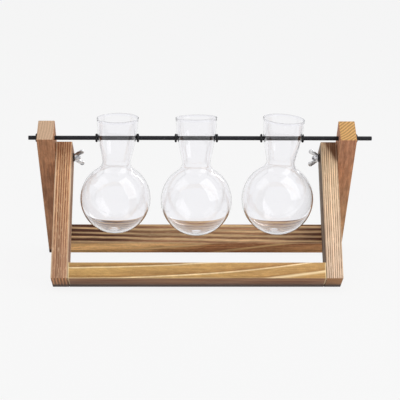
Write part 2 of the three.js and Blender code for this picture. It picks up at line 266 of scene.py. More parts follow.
def floor_sheet():
    material, tree = new_material("pale_sheet")
    rays, seen = seen_rays(tree)
    sheet = add(tree, "ShaderNodeBsdfDiffuse", Color=opaque(SHEET_GREY))
    here = tree.nodes.new("ShaderNodeTexCoord").outputs["Object"]
    spot = add(tree, "ShaderNodeSeparateXYZ", Vector=here).outputs
    patch = smooth(tree, math_node(tree, "ABSOLUTE", spot[0]), *PATCH_INNER)
    for edge in (PATCH_FRONT, PATCH_BACK):
        patch = times(tree, patch, smooth(tree, spot[1], *edge))
    patch = times(tree, patch, math_node(tree, "SUBTRACT", 1.0, rays["Is Camera Ray"]))
    shade = mix_colour(tree, patch, PALE, PATCH_SHADE)
    glow = add(tree, "ShaderNodeEmission", Color=shade, Strength=1.0)
    share = times(tree, seen, GLOW_SHARE)
    mixed = add(tree, "ShaderNodeMixShader", i0=share, i1=sheet.outputs[0], i2=glow.outputs[0])
    add(tree, "ShaderNodeOutputMaterial", Surface=mixed.outputs[0])
    return material


corners = [(FLOOR_REACH * x, FLOOR_REACH * y, 0) for x, y in ((-1, -1), (1, -1), (1, 1), (-1, 1))]
floor_mesh = bpy.data.meshes.new("floor")
floor_mesh.from_pydata(corners, [], [(0, 1, 2, 3)])
floor = bpy.data.objects.new("floor", floor_mesh)
floor.data.materials.append(floor_sheet())
scene.collection.objects.link(floor)
print("floor", 2 * FLOOR_REACH, "m wide")

# %% [markdown]
# The world stands for the room. Walls could be built, but a colour that depends on the direction
# is enough for glass and zinc to mirror: pale, and a shade darker to both sides. The wood only
# gets a mild even fill from it, and the camera sees the same pale grey as on the floor.

# %% World
ROOM_PALE = (0.90, 0.90, 0.92)
ROOM_SIDE = (0.84, 0.84, 0.86)
ROOM_FILL = (0.50, 0.50, 0.51)
SIDE_WALLS = (0.45, 0.9)

world = bpy.data.worlds.new("studio")
world.use_nodes = True
scene.world = world
sky = world.node_tree
sky.nodes.clear()
sky_way = sky.nodes.new("ShaderNodeTexCoord").outputs["Generated"]
sideways = add(sky, "ShaderNodeSeparateXYZ", Vector=sky_way).outputs[0]
walls = smooth(sky, math_node(sky, "ABSOLUTE", sideways), *SIDE_WALLS)
sky_rays, sky_seen = seen_rays(sky)
room = mix_colour(sky, sky_seen, ROOM_FILL, mix_colour(sky, walls, ROOM_PALE, ROOM_SIDE))
backdrop = mix_colour(sky, sky_rays["Is Camera Ray"], room, PALE)
air = add(sky, "ShaderNodeBackground", Color=backdrop, Strength=1.0)
add(sky, "ShaderNodeOutputWorld", Surface=air.outputs[0])
print("world", world.name, "with", len(sky.nodes), "nodes")

# %% [markdown]
# The lamps are soft boxes, placed by what the glass mirrors. The largest hangs to the right and in
# front, because the bulbs carry its square reflection high on their right side. A weaker one fills
# from the left. One overhead lights the cut tops of the legs and stays out of the reflections. A
# narrow strip behind does the opposite: it shows only in polished things, and draws the bright
# streak low on the left of each bulb.

# %% Lamps
LAMP_AIM = Vector((0, 0, 0.08))


def soft_box(name, place, size, watts):
    lamp = bpy.data.lights.new(name, "AREA")
    lamp.shape = "RECTANGLE"
    lamp.size, lamp.size_y = size
    lamp.energy = watts
    box = bpy.data.objects.new(name, lamp)
    scene.collection.objects.link(box)
    box.location = place
    box.rotation_euler = (LAMP_AIM - Vector(place)).to_track_quat("-Z", "Y").to_euler()
    return box


soft_box("right_box", place=(1.00, -0.58, 0.96), size=(1.0, 1.9), watts=7.5)
soft_box("left_box", place=(-0.95, -0.25, 1.10), size=(0.85, 0.85), watts=1.5)
overhead = soft_box("top_box", place=(0, -0.5, 2.2), size=(2.4, 2.0), watts=18)
overhead.visible_glossy = False
overhead.visible_transmission = False
strip = soft_box("back_strip", place=(0.66, 0.88, 0.72), size=(0.12, 0.8), watts=1.1)
strip.visible_diffuse = False

# %% [markdown]
# ## Making and placing a piece
# A piece is built in millimetres in a bmesh, moved by its frame's matrix, scaled to metres, and
# given smooth faces with sharp edges only where two faces meet at a clear angle. The object could be
# moved instead, but then its origin would move too. The piece then rides on its body, gets its
# finish, and stands for its plain solid in the imported model, which is hidden.

# %% Finish a piece
SHARP_ANGLE = 35


def finish_piece(name, shape, place, material, body, nodes, sharp=SHARP_ANGLE):
    shape.transform(Matrix.Scale(MM, 4) @ place)
    bmesh.ops.recalc_face_normals(shape, faces=shape.faces)
    mesh = bpy.data.meshes.new(name)
    shape.to_mesh(mesh)
    shape.free()
    for face in mesh.polygons:
        face.use_smooth = True
    mesh.set_sharp_from_angle(angle=math.radians(sharp))
    piece = bpy.data.objects.new(name, mesh)
    scene.collection.objects.link(piece)
    piece.data.materials.append(material)
    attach(piece, body)
    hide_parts(*nodes)
    return piece


print("helper ready: finish_piece")

# %% [markdown]
# Much of the stand is turned: the rod, the rings, the bolts, the hubs and the glass. Blender's
# spin tool or a screw modifier could turn an outline too, but a few lines of mesh code give full
# control over the closed ends, where a ring of vertices shrinks to a single point on the axis.

# %% Turn an outline
ROUND_SIDES = 48
DRILL_SIDES = 40
ON_AXIS = 1e-6


def ring_angles(count):
    return [2 * math.pi * k / count for k in range(count)]


def lathe(profile, sides=ROUND_SIDES, closed=False):
    """Turns (along, radius) pairs about X into a skin. closed joins the last ring to the first."""
    shape = bmesh.new()
    rings = []
    for along, radius in profile:
        if radius < ON_AXIS:
            rings.append([shape.verts.new((along, 0, 0))])
            continue
        spots = [(along, radius * math.cos(a), radius * math.sin(a)) for a in ring_angles(sides)]
        rings.append([shape.verts.new(spot) for spot in spots])
    pairs = list(zip(rings, rings[1:]))
    if closed:
        pairs.append((rings[-1], rings[0]))
    for low, high in pairs:
        for k in range(sides):
            m = (k + 1) % sides
            around = [low[k % len(low)], low[m % len(low)], high[m % len(high)], high[k % len(high)]]
            unique = list(dict.fromkeys(around))
            if len(unique) > 2:
                shape.faces.new(unique)
    return shape


def pin(radius, start, end, sides=DRILL_SIDES):
    return lathe([(start, 0), (start, radius), (end, radius), (end, 0)], sides)


print("helpers ready: lathe, pin")

# %% [markdown]
# Holes are drilled and castings joined with boolean modifiers. A modifier works on objects, so a
# shape becomes a stand-in object for a moment. Its result is read back as a new shape, and the
# stand-ins are removed, so no modifier is left on a finished piece.

# %% Carve and join shapes


def stand_in(shape):
    mesh = bpy.data.meshes.new("stand_in")
    bmesh.ops.recalc_face_normals(shape, faces=shape.faces)
    shape.to_mesh(mesh)
    shape.free()
    piece = bpy.data.objects.new("stand_in", mesh)
    scene.collection.objects.link(piece)
    return piece


def worked(blank, tools=()):
    """The blank's shape after its modifiers. The blank and the tools are removed."""
    graph = bpy.context.evaluated_depsgraph_get()
    made = bpy.data.meshes.new_from_object(blank.evaluated_get(graph))
    shape = bmesh.new()
    shape.from_mesh(made)
    for piece in (blank, *tools):
        mesh = piece.data
        bpy.data.objects.remove(piece)
        bpy.data.meshes.remove(mesh)
    bpy.data.meshes.remove(made)
    return shape


def carve(shape, cutters, operation="DIFFERENCE"):
    """Cuts a shape with others, or joins them to it."""
    blank = stand_in(shape)
    tools = [stand_in(cutter) for cutter in cutters]
    for tool in tools:
        step = blank.modifiers.new("step", "BOOLEAN")
        step.operation = operation
        step.solver = "EXACT"
        step.object = tool
    return worked(blank, tools)


print("helpers ready: stand_in, worked, carve")

# %% [markdown]
# ## Torched pine
# Each batten was cut from a different board, then scorched with a torch and brushed. A flat grain
# picture would need wrapping and would break at every corner. A solid pattern is the honest way:
# it fills the whole block, so the same ring runs over a face, round the edge and onto the cut end.
#
# The pattern is read in the batten's own axes, in millimetres, so the grain rides with the piece.
# The small class below holds one batten's web and the three questions that every later step asks:
# where am I in the wood, which noise is here, and which face am I on.

# %% A batten's own axes
FACE_EDGE = (0.70, 0.92)


class Board:
    """The node web of one batten's wood. Its z axis runs along the grain."""

    def __init__(self, name, axes, half_length, seed):
        self.material, self.tree = new_material(name)
        self.axes = axes
        self.half_length = half_length
        self.seed = seed
        here = self.tree.nodes.new("ShaderNodeTexCoord").outputs
        self.here = here["Object"]
        self.normal = here["Normal"]
        spot, turn, _ = axes.decompose()
        own = add(self.tree, "ShaderNodeMapping", {"vector_type": "TEXTURE"}, Vector=self.here,
                  Location=spot * MM, Rotation=turn.to_euler())
        self.grain = self.vector("SCALE", own.outputs[0], Scale=1 / MM).outputs[0]
        self.plain = add(self.tree, "ShaderNodeSeparateXYZ", Vector=self.grain).outputs

    def vector(self, operation, first, **more):
        return add(self.tree, "ShaderNodeVectorMath", {"operation": operation}, i0=first, **more)

    def noise(self, pattern, shift):
        """A pattern is a pace per millimetre on each axis, a level of detail and a roughness."""
        pace, detail, rough = pattern
        at = add(self.tree, "ShaderNodeMapping", Vector=self.grain, Location=shift, Scale=pace)
        return add(self.tree, "ShaderNodeTexNoise", Vector=at.outputs[0], Scale=1.0, Detail=detail,
                   Roughness=rough).outputs

    def facing(self, way):
        """The cosine between the surface and one of the batten's own directions."""
        aim = self.axes.to_3x3() @ Vector(way)
        return self.vector("DOT_PRODUCT", self.normal, i1=aim).outputs[1]

    def on_face(self, way, most=1.0):
        return smooth(self.tree, self.facing(way), *FACE_EDGE, 0.0, most)


print("helper ready: Board")

# %% [markdown]
# A growth ring is a cylinder about the tree's heart. The distance from a heart line, divided by
# the width of a ring, counts the years: its whole part names the year, and the rest says how far
# that summer had come. The heart lies well outside each batten, so the lines run nearly straight.
# A drift and a bend of the heart line let them sweep over the face, and slow noise lets them sway.

# %% Growth rings
SWAY = ((0.035, 0.035, 0.011), 2.0, 0.5)
MIDDLE_GREY = (0.5, 0.5, 0.5)


def growth_rings(board, rings):
    """Sets board.year, from 0 in spring to 1 in autumn, and board.luck, which differs each year."""
    tree = board.tree
    wave = board.noise(SWAY, (board.seed, 0, 0))["Color"]
    centred = board.vector("SUBTRACT", wave, i1=MIDDLE_GREY).outputs[0]
    sway = board.vector("SCALE", centred, Scale=rings["wave"]).outputs[0]
    moved = board.vector("ADD", board.grain, i1=sway).outputs[0]
    board.swayed = add(tree, "ShaderNodeSeparateXYZ", Vector=moved).outputs
    along = board.swayed[2]
    across = []
    for k in range(2):
        slope = plus(tree, times(tree, along, rings["bend"][k]), rings["drift"][k])
        heart = plus(tree, times(tree, slope, along), rings["heart"][k])
        across.append(math_node(tree, "SUBTRACT", board.swayed[k], heart))
    flat = add(tree, "ShaderNodeCombineXYZ", X=across[0], Y=across[1]).outputs[0]
    distance = board.vector("LENGTH", flat).outputs[1]
    count = plus(tree, math_node(tree, "DIVIDE", distance, rings["width"]), rings["phase"])
    board.year = math_node(tree, "FRACT", count)
    number = math_node(tree, "FLOOR", count)
    board.luck = add(tree, "ShaderNodeTexWhiteNoise", {"noise_dimensions": "1D"}, W=number).outputs[0]


print("helper ready: growth_rings")

# %% [markdown]
# Spring wood is pale and soft, autumn wood dark and hard, so a colour ramp over the year paints
# the lines. A wave texture could give stripes too, but all of one kind, and no two years are alike:
# here each gets a tone of its own. On one batten the lines fade into a calm colour towards the
# foot, where the saw ran nearly along a ring.

# %% Ring colours
ALL_YEARS = (0.0, 1.0)
GOOD_YEAR = 0.7
CALM_START, CALM_FULL = 0.1, -0.9


def vary(tree, colour, pattern, spread, darker, lighter):
    """Darkens a colour where the pattern is low and lightens it where the pattern is high."""
    return tinted(tree, colour, smooth(tree, pattern, *spread, 1.0 - darker, 1.0 + lighter))


def ring_colours(board, tones):
    tree = board.tree
    colour = ramp(tree, board.year, tones["stops"])
    if "calm" in tones:
        start, full = CALM_START * board.half_length, CALM_FULL * board.half_length
        quiet = smooth(tree, board.plain[2], start, full, 0.0, tones["calm"])
        colour = mix_colour(tree, quiet, colour, tones["calm_colour"])
    change = tones["year_change"]
    return vary(tree, colour, board.luck, ALL_YEARS, change, GOOD_YEAR * change)


print("helper ready: ring_colours")

# %% [markdown]
# Over the rings lie broad streaks, fine fibres, pale flecks, soft blotches and sanding dust. All
# are noise, and what tells them apart is how fast each changes across the grain and along it. The
# noise lies mostly between 0.3 and 0.7, so each pattern also has a spread, the part of that range
# which a soft step stretches from dark to light.

# %% Fine grain
STREAKS, STREAK_SPREAD = ((0.50, 0.50, 0.011), 3.0, 0.55), (0.30, 0.70)
FIBRES, FIBRE_SPREAD = ((2.4, 2.4, 0.05), 4.0, 0.62), (0.28, 0.72)
FLECKS, FLECK_SPREAD = ((1.3, 1.3, 0.15), 2.0, 0.5), (0.54, 0.70)
BLOTCHES, BLOTCH_SPREAD = ((0.36, 0.36, 0.085), 3.0, 0.6), (0.32, 0.68)
DUST, DUST_SPREAD = ((1.7, 1.7, 1.1), 2.0, 0.6), (0.30, 0.70)
PALE_STREAK = 0.8
DUST_CHANGE = 0.10


def fine_grain(board, colour, tones):
    """Sets board.streak, fibres, threads and lengthwise, which the later steps use again."""
    tree = board.tree
    seed = board.seed
    board.streak = board.noise(STREAKS, (0, 0, seed))[0]
    board.fibres = board.noise(FIBRES, (0, seed, 0))[0]
    flecks = board.noise(FLECKS, (seed, seed, 0))[0]
    blotches = board.noise(BLOTCHES, (seed, 0, seed))[0]
    dust = board.noise(DUST, (0, seed, seed))[0]
    streak, fibre, mottle = tones["streak"], tones["fibre"], tones["mottle"]
    colour = vary(tree, colour, board.streak, STREAK_SPREAD, streak, PALE_STREAK * streak)
    board.threads = smooth(tree, board.fibres, *FIBRE_SPREAD, 1.0 - fibre, 1.0 + fibre)
    colour = tinted(tree, colour, board.threads)
    specks = smooth(tree, flecks, *FLECK_SPREAD, 0.0, tones["fleck"])
    colour = mix_colour(tree, specks, colour, tones["fleck_colour"])
    colour = vary(tree, colour, blotches, BLOTCH_SPREAD, mottle, mottle)
    colour = vary(tree, colour, dust, DUST_SPREAD, DUST_CHANGE, DUST_CHANGE)
    board.lengthwise = smooth(tree, board.plain[2], -board.half_length, board.half_length)
    shift = mix_colour(tree, board.lengthwise, tones["low_end"], tones["high_end"])
    return tinted(tree, colour, shift)


print("helper ready: fine_grain")

# %% [markdown]
# A cut end shows the rings as arcs, in a tone of its own, because end grain takes up a finish more
# deeply. The ends could be separate faces with a second material, but then the rings would have to
# be made twice. Instead the web finds the ends by the direction in which the surface looks. One
# foot also shows the ends of its stripes, as lines at an even distance.

# %% Cut ends
END_FACING = (0.75, 0.95)
END_LINE_RISE, END_LINE_FALL = (0.28, 0.60), (1.0, 0.88)
STROKE_SPREAD, STROKE_DARK, STROKE_LIGHT = (0.20, 0.42), 0.38, 0.55


def cut_ends(board, colour, tones):
    """Sets board.cut_end, which is 1 on both ends."""
    tree = board.tree
    upright = math_node(tree, "ABSOLUTE", board.facing((0, 0, 1)))
    board.cut_end = smooth(tree, upright, *END_FACING)
    rise, fall = [smooth(tree, board.year, *edge) for edge in (END_LINE_RISE, END_LINE_FALL)]
    line = times(tree, rise, fall)
    dark = [v * tones["end_ring"] for v in tones["end"]]
    end = tinted(tree, mix_colour(tree, line, tones["end"], dark), board.threads)
    if "end_lines" in tones:
        strokes = math_node(tree, "DIVIDE", board.swayed[0], tones["end_lines"])
        stroke = math_node(tree, "FRACT", strokes)
        off_line = math_node(tree, "ABSOLUTE", math_node(tree, "SUBTRACT", stroke, 0.5))
        end = vary(tree, end, off_line, STROKE_SPREAD, STROKE_DARK, STROKE_LIGHT)
    return mix_colour(tree, board.cut_end, colour, end)


print("helper ready: cut_ends")

# %% [markdown]
# The four long faces differ too. A face sawn along the rings shows only long streaks. A tint can
# also be given to one face, from its low end to its high end: on the front legs' inner faces and on
# the front bar's underside it is painted shade, for faces turned away from the lamps. A flame is a
# pale year that the saw cut at a low angle, drawn slantwise over a face. Such a line is simpler to
# list than to get from the count of the rings.

# %% Faces and flames
ALONG_SPREAD, ALONG_SHARE = (0.36, 0.64), 0.9
FLAME_CORE, FLAME_SHARE = 0.15, 0.85


def face_tones(board, colour, tones, faces):
    tree = board.tree
    if "along_rings" in tones:
        way, dark, light = tones["along_rings"]
        streaks = mix_colour(tree, smooth(tree, board.streak, *ALONG_SPREAD), dark, light)
        streaks = tinted(tree, streaks, board.threads)
        colour = mix_colour(tree, board.on_face(way, ALONG_SHARE), colour, streaks)
    for way, low_tint, high_tint in faces:
        tint = mix_colour(tree, board.lengthwise, low_tint, high_tint)
        colour = mix_colour(tree, board.on_face(way), colour, tinted(tree, colour, tint))
    for way, slope, offset, reach, pale in tones.get("flames", ()):
        slid = plus(tree, times(tree, board.swayed[2], slope), offset)
        apart = math_node(tree, "ABSOLUTE", plus(tree, board.swayed[0], slid))
        lick = smooth(tree, apart, reach, FLAME_CORE * reach, 0.0, FLAME_SHARE)
        lick = times(tree, lick, board.on_face(way))
        colour = mix_colour(tree, lick, colour, tinted(tree, pale, board.threads))
    return colour


print("helper ready: face_tones")

# %% [markdown]
# The torch leaves two marks: broad brown clouds, and burns that eat in from the ends along the
# hard autumn lines. They could be painted by hand on the mesh, but a product does it by itself: the
# nearness of an end, times the dark part of the year, draws the burn out into tongues. A batten
# only states what differs from the quiet set of values.

# %% Scorch
CLOUDS, CLOUD_SPREAD = ((0.05, 0.05, 0.016), 3.0, 0.55), (0.44, 0.68)
AUTUMN_FALL = (1.0, 0.92)
BROKEN_SPREAD, BROKEN_LEAST = (0.30, 0.56), 0.30
LOOSE_SPREAD = (0.35, 0.62)
SOLID_SPREAD = (0.2, 1.0)
TORCHED_FACE = (0.55, 0.85)
WOOD_LEFT = 0.08
# The last value is the strength of the painted shade where a batten meets the floor.
QUIET_SCORCH = dict(cloud=0.0, top=0.0, top_reach=20, foot=0.0, foot_reach=20, late=0.5, slant=0.0,
                    solid=0.0, band=(0.45, 0.85), floor_shade=0.92)


def scorched(board, colour, scorch):
    """Sets board.cloud. late is the share of the burn that keeps to the autumn lines."""
    tree = board.tree
    half = board.half_length
    board.cloud = board.noise(CLOUDS, (0, 0, board.seed))[0]
    broad = smooth(tree, board.cloud, *CLOUD_SPREAD, 0.0, scorch["cloud"])
    slanted = plus(tree, board.plain[2], times(tree, board.plain[0], scorch["slant"]))
    top = smooth(tree, slanted, half - scorch["top_reach"], half, 0.0, scorch["top"])
    foot = smooth(tree, board.plain[2], scorch["foot_reach"] - half, -half, 0.0, scorch["foot"])
    ends = plus(tree, top, foot)
    late_summer = smooth(tree, board.year, *scorch["band"])
    autumn = times(tree, late_summer, smooth(tree, board.year, *AUTUMN_FALL))
    autumn = times(tree, autumn, smooth(tree, board.streak, *BROKEN_SPREAD, BROKEN_LEAST, 1.0))
    loose = smooth(tree, board.streak, *LOOSE_SPREAD, 0.0, 1.0 - scorch["late"])
    tongues = plus(tree, times(tree, autumn, scorch["late"]), loose)
    tongues = plus(tree, tongues, smooth(tree, ends, *SOLID_SPREAD, 0.0, scorch["solid"]))
    burn = math_node(tree, "ADD", broad, times(tree, ends, tongues), clamp=True)
    burn = times(tree, burn, math_node(tree, "SUBTRACT", 1.0, board.cut_end))
    if "face" in scorch:
        burn = times(tree, burn, smooth(tree, board.facing(scorch["face"]), *TORCHED_FACE))
    return mix_colour(tree, burn, colour, mix_colour(tree, WOOD_LEFT, scorch["colour"], colour))


print("helper ready: scorched")

# %% [markdown]
# Handling rubs the scorch off the edges, where pale wood comes through in patches. Blender can
# measure how sharp a mesh is at each spot, but that depends on how finely the mesh is cut. In a
# plain block an edge is simply a place close to two faces at once, so the web takes the larger of
# two distances. Along the floor each batten is darkened: painted shade where it meets the floor.

# %% Rubbed edges and painted floor shade
EDGE_CORE = 0.3
CORNER_REACH = 1.5
PATCHY_SPREAD = (0.36, 0.60)
FLOOR_SHADE_START, FLOOR_SHADE_FULL = 0.0058, 0.0026
FLOOR_SHADE_BROWN = (0.030, 0.014, 0.009)


def rubbed_edges(board, colour, rub):
    tree = board.tree
    gaps = []
    for k, half in enumerate((STOCK_WIDE / 2, STOCK_DEEP / 2, board.half_length)):
        gaps.append(math_node(tree, "SUBTRACT", half, math_node(tree, "ABSOLUTE", board.plain[k])))
    long_edge = math_node(tree, "MAXIMUM", gaps[0], gaps[1])
    end_edges = [math_node(tree, "MAXIMUM", gaps[k], gaps[2]) for k in range(2)]
    worn = smooth(tree, long_edge, rub["reach"], EDGE_CORE)
    patches = smooth(tree, board.cloud, *PATCHY_SPREAD, rub["least"], rub["most"])
    patchy = times(tree, worn, patches)
    nearest = math_node(tree, "MINIMUM", *end_edges)
    corner = smooth(tree, nearest, CORNER_REACH, EDGE_CORE, 0.0, rub["ends"])
    return mix_colour(tree, math_node(tree, "MAXIMUM", patchy, corner), colour, rub["colour"])


def shade_at_floor(board, colour, strength):
    """Paints shade on the lowest millimetres of a batten, where it meets the floor. Heights over the
    floor are in metres.
    """
    height = add(board.tree, "ShaderNodeSeparateXYZ", Vector=board.here).outputs[2]
    floor_shade = smooth(board.tree, height, FLOOR_SHADE_START, FLOOR_SHADE_FULL, 0.0, strength)
    return mix_colour(board.tree, floor_shade, colour, FLOOR_SHADE_BROWN)


print("helpers ready: rubbed_edges, shade_at_floor")

# %% [markdown]
# The last step lays these layers over each other, from the wood outwards. A wire brush has worn
# away the soft spring wood, so the hard lines and the fibres stand up a little in the bump, and
# the surface is nearly matt.

# %% The whole finish
HARD_LINE = (0.45, 0.85)
LINE_PROUD = 0.5
FIBRE_PROUD = 0.9
BRUSHED, BRUSHED_DEPTH = 0.45, 0.00025
MATT_SPREAD, MATT_LEAST, MATT_MOST = (0.3, 0.7), 0.52, 0.70
MATT_SHINE = 0.18


def torched_pine(name, axes, half_length, rings, tones, scorch, rub, faces=()):
    """rings: the heart line and ring width; tones: colours; scorch: burns and painted floor shade;
    rub: pale edges.
    """
    board = Board(name, axes, half_length, rings["seed"])
    scorch = {**QUIET_SCORCH, **scorch}
    growth_rings(board, {"bend": (0.0, 0.0), "phase": 0.0, **rings})
    colour = ring_colours(board, tones)
    colour = fine_grain(board, colour, tones)
    colour = cut_ends(board, colour, tones)
    colour = face_tones(board, colour, tones, faces)
    colour = scorched(board, colour, scorch)
    colour = rubbed_edges(board, colour, rub)
    # Painted shade where the batten meets the floor.
    colour = shade_at_floor(board, colour, scorch["floor_shade"])
    tree = board.tree
    hard = smooth(tree, board.year, *HARD_LINE)
    height = plus(tree, times(tree, hard, LINE_PROUD), times(tree, board.fibres, FIBRE_PROUD))
    gloss = smooth(tree, board.fibres, *MATT_SPREAD, MATT_LEAST, MATT_MOST)
    relief = (height, BRUSHED, BRUSHED_DEPTH)
    outer_skin(tree, colour, gloss, relief, Specular_IOR_Level=MATT_SHINE)
    return board.material


print("finish ready: torched_pine")

# %% [markdown]
# ## The battens
# A batten is a planed block whose edges are rounded over by a few passes of sandpaper, so the
# light catches a thin line along each edge. Here it is a cube, scaled and bevelled. It could keep
# a bevel modifier, but the cut at the floor and the drilled holes have to come after the bevel, so
# everything is done on the mesh. The corner that a batten stands on is planed flat at floor level.

# %% Batten shape
EDGE_ROUND = 0.6
EDGE_STEPS = 4
CUT_NEAR = 1e-5


def batten(length, drills, stands):
    """A block along Z, centred on its middle. stands is its place, for the cut at the floor."""
    shape = bmesh.new()
    bmesh.ops.create_cube(shape, size=1.0)
    bmesh.ops.scale(shape, vec=(STOCK_WIDE, STOCK_DEEP, length), verts=shape.verts)
    bmesh.ops.bevel(shape, geom=list(shape.edges), offset=EDGE_ROUND, offset_type="OFFSET",
                    segments=EDGE_STEPS, profile=0.5, affect="EDGES", clamp_overlap=True)
    level = stands.inverted()
    everything = shape.verts[:] + shape.edges[:] + shape.faces[:]
    bmesh.ops.bisect_plane(shape, geom=everything, dist=CUT_NEAR, plane_co=level @ Vector((0, 0, 0)),
                           plane_no=level.to_3x3() @ Vector((0, 0, 1)), clear_inner=True)
    rim = [e for e in shape.edges if e.is_boundary]
    bmesh.ops.holes_fill(shape, edges=rim)
    return carve(shape, drills) if drills else shape


def stand_batten(name, node, body, finish, place, length, drills=()):
    shape = batten(length, drills, place)
    piece = finish_piece(name, shape, place, finish, body, [node])
    print(name, "of", round(length, 1), "mm,", len(piece.data.polygons), "faces")
    return piece


print("helpers ready: batten, stand_batten")

# %% [markdown]
# A leg runs up its frame, and a bar lies across it, flush with the feet. Empties could hold these
# places, but plain matrices leave nothing behind in the scene. Each place also gives the grain its
# direction: z always runs along the batten.

# %% Where a leg and a bar go


def leg_place(frame_turn, x, above):
    """z runs up the leg, with zero half way along it."""
    return frame_turn @ Matrix.Translation((x, 0, (above - LEG_BELOW) / 2))


def bar_place(frame_turn):
    """z runs along the bar to the right, x points down and y to the back."""
    lie = Matrix(((0, 0, 1), (0, 1, 0), (-1, 0, 0))).to_4x4()
    return frame_turn @ Matrix.Translation((0, 0, STOCK_WIDE / 2 - LEG_BELOW)) @ lie


print("helpers ready: leg_place, bar_place")

# %% [markdown]
# One wood for all battens would be shorter to write, but the boards plainly differ. So each gets a
# finish of its own, with tones that were read off the photograph as linear colour. The left front
# leg is red-brown with close pale stripes that fade towards the foot, and its head is scorched
# along the lines. It needs one hole, for the pivot bolt.
#
# In each finish, rings says where the heart lies and how wide a ring is, tones gives the colours of
# a year and the strength of each pattern, scorch tells how far the torch reached in from the top
# and the foot and how strong the painted floor shade is, rub how far the edges are worn, and faces
# which single faces get a tint.

# %% Left front leg
FRONT_ABOVE = 11.5
FRONT_LEG_X = 134.1
BOLT_HOLE_R = 2.15
DRILL_REACH = 12
front_length = LEG_BELOW + FRONT_ABOVE
front_bolt_z = LEG_BELOW - front_length / 2


def side_drill(radius, z):
    cutter = pin(radius, -DRILL_REACH, DRILL_REACH)
    cutter.transform(Matrix.Translation((0, 0, z)))
    return cutter


place = leg_place(FRONT, -FRONT_LEG_X, FRONT_ABOVE)
red_stripe = torched_pine(
    "red_striped_pine", place, front_length / 2,
    rings=dict(width=2.15, heart=(-70.0, 9.0), drift=(0.004, 0.0), wave=1.8, phase=0.2, seed=3.1),
    tones=dict(stops=[(0.0, (0.31, 0.130, 0.065)), (0.26, (0.41, 0.205, 0.108)),
                      (0.44, (0.68, 0.435, 0.245)), (0.62, (0.64, 0.400, 0.225)),
                      (0.80, (0.285, 0.114, 0.055)), (1.0, (0.295, 0.122, 0.060))],
               year_change=0.22, streak=0.16, fibre=0.18, mottle=0.06,
               fleck=0.6, fleck_colour=(0.80, 0.56, 0.35),
               calm=0.62, calm_colour=(0.46, 0.255, 0.150),
               low_end=(0.96, 0.94, 0.96), high_end=(1.16, 1.12, 1.06),
               end=(0.46, 0.225, 0.108), end_ring=0.90, end_lines=3.1),
    scorch=dict(cloud=0.12, top=0.95, top_reach=30, foot=0.10, foot_reach=12, late=0.75, solid=0.25,
                band=(0.60, 0.85), colour=(0.21, 0.066, 0.030)),
    rub=dict(reach=1.6, least=0.25, most=0.9, ends=0.0, colour=(0.86, 0.66, 0.45)),
    # Painted shade: the inner face is tinted darker and cooler.
    faces=[((1, 0, 0), (0.72, 0.74, 0.80), (0.74, 0.74, 0.80))])
stand_batten("front_left_batten", "front_left_leg", "front_frame", red_stripe, place, front_length,
             [side_drill(BOLT_HOLE_R, front_bolt_z)])

# %% [markdown]
# The right front leg is straw with fine brown lines. Its head is burnt almost solid, and the burn
# ends on a slant, reaching lower on the outer side, next to the rear leg. A second, burnt
# material would end on a hard line there, so the slant is a value of the scorch. The side that
# looks inwards is much darker than the front: that is painted shade, given as a tint on that face.

# %% Right front leg
place = leg_place(FRONT, FRONT_LEG_X, FRONT_ABOVE)
straw_line = torched_pine(
    "straw_lined_pine", place, front_length / 2,
    rings=dict(width=2.0, heart=(70.0, 12.0), drift=(0.010, 0.0), wave=1.6, seed=8.4),
    tones=dict(stops=[(0.0, (0.80, 0.575, 0.375)), (0.24, (0.92, 0.720, 0.495)),
                      (0.58, (0.90, 0.690, 0.475)), (0.72, (0.33, 0.180, 0.100)),
                      (0.88, (0.34, 0.185, 0.105)), (1.0, (0.72, 0.50, 0.32))],
               year_change=0.14, streak=0.10, fibre=0.16, mottle=0.06,
               fleck=0.5, fleck_colour=(0.92, 0.735, 0.52),
               low_end=(0.96, 0.93, 0.97), high_end=(0.96, 0.92, 0.86),
               end=(0.44, 0.220, 0.095), end_ring=0.75),
    scorch=dict(top=1.1, top_reach=22, foot=0.06, foot_reach=8, late=0.45, slant=1.7, solid=0.75,
                band=(0.55, 0.80), colour=(0.135, 0.050, 0.020)),
    rub=dict(reach=1.2, least=0.1, most=0.35, ends=0.0, colour=(0.86, 0.66, 0.48)),
    # Painted shade: the inward face is tinted much darker.
    faces=[((-1, 0, 0), (0.31, 0.31, 0.33), (0.37, 0.37, 0.39))])
stand_batten("front_right_batten", "front_right_leg", "front_frame", straw_line, place, front_length,
             [side_drill(BOLT_HOLE_R, front_bolt_z)])

# %% [markdown]
# The front bar is golden, with wide rings. A few pale lines sweep along it and curve upwards to the
# right. Curves could be drawn on the front alone, but a bent heart line carries the sweep over
# every face. One more pale flame crosses the front. The face turned to the floor was sawn along
# the rings.

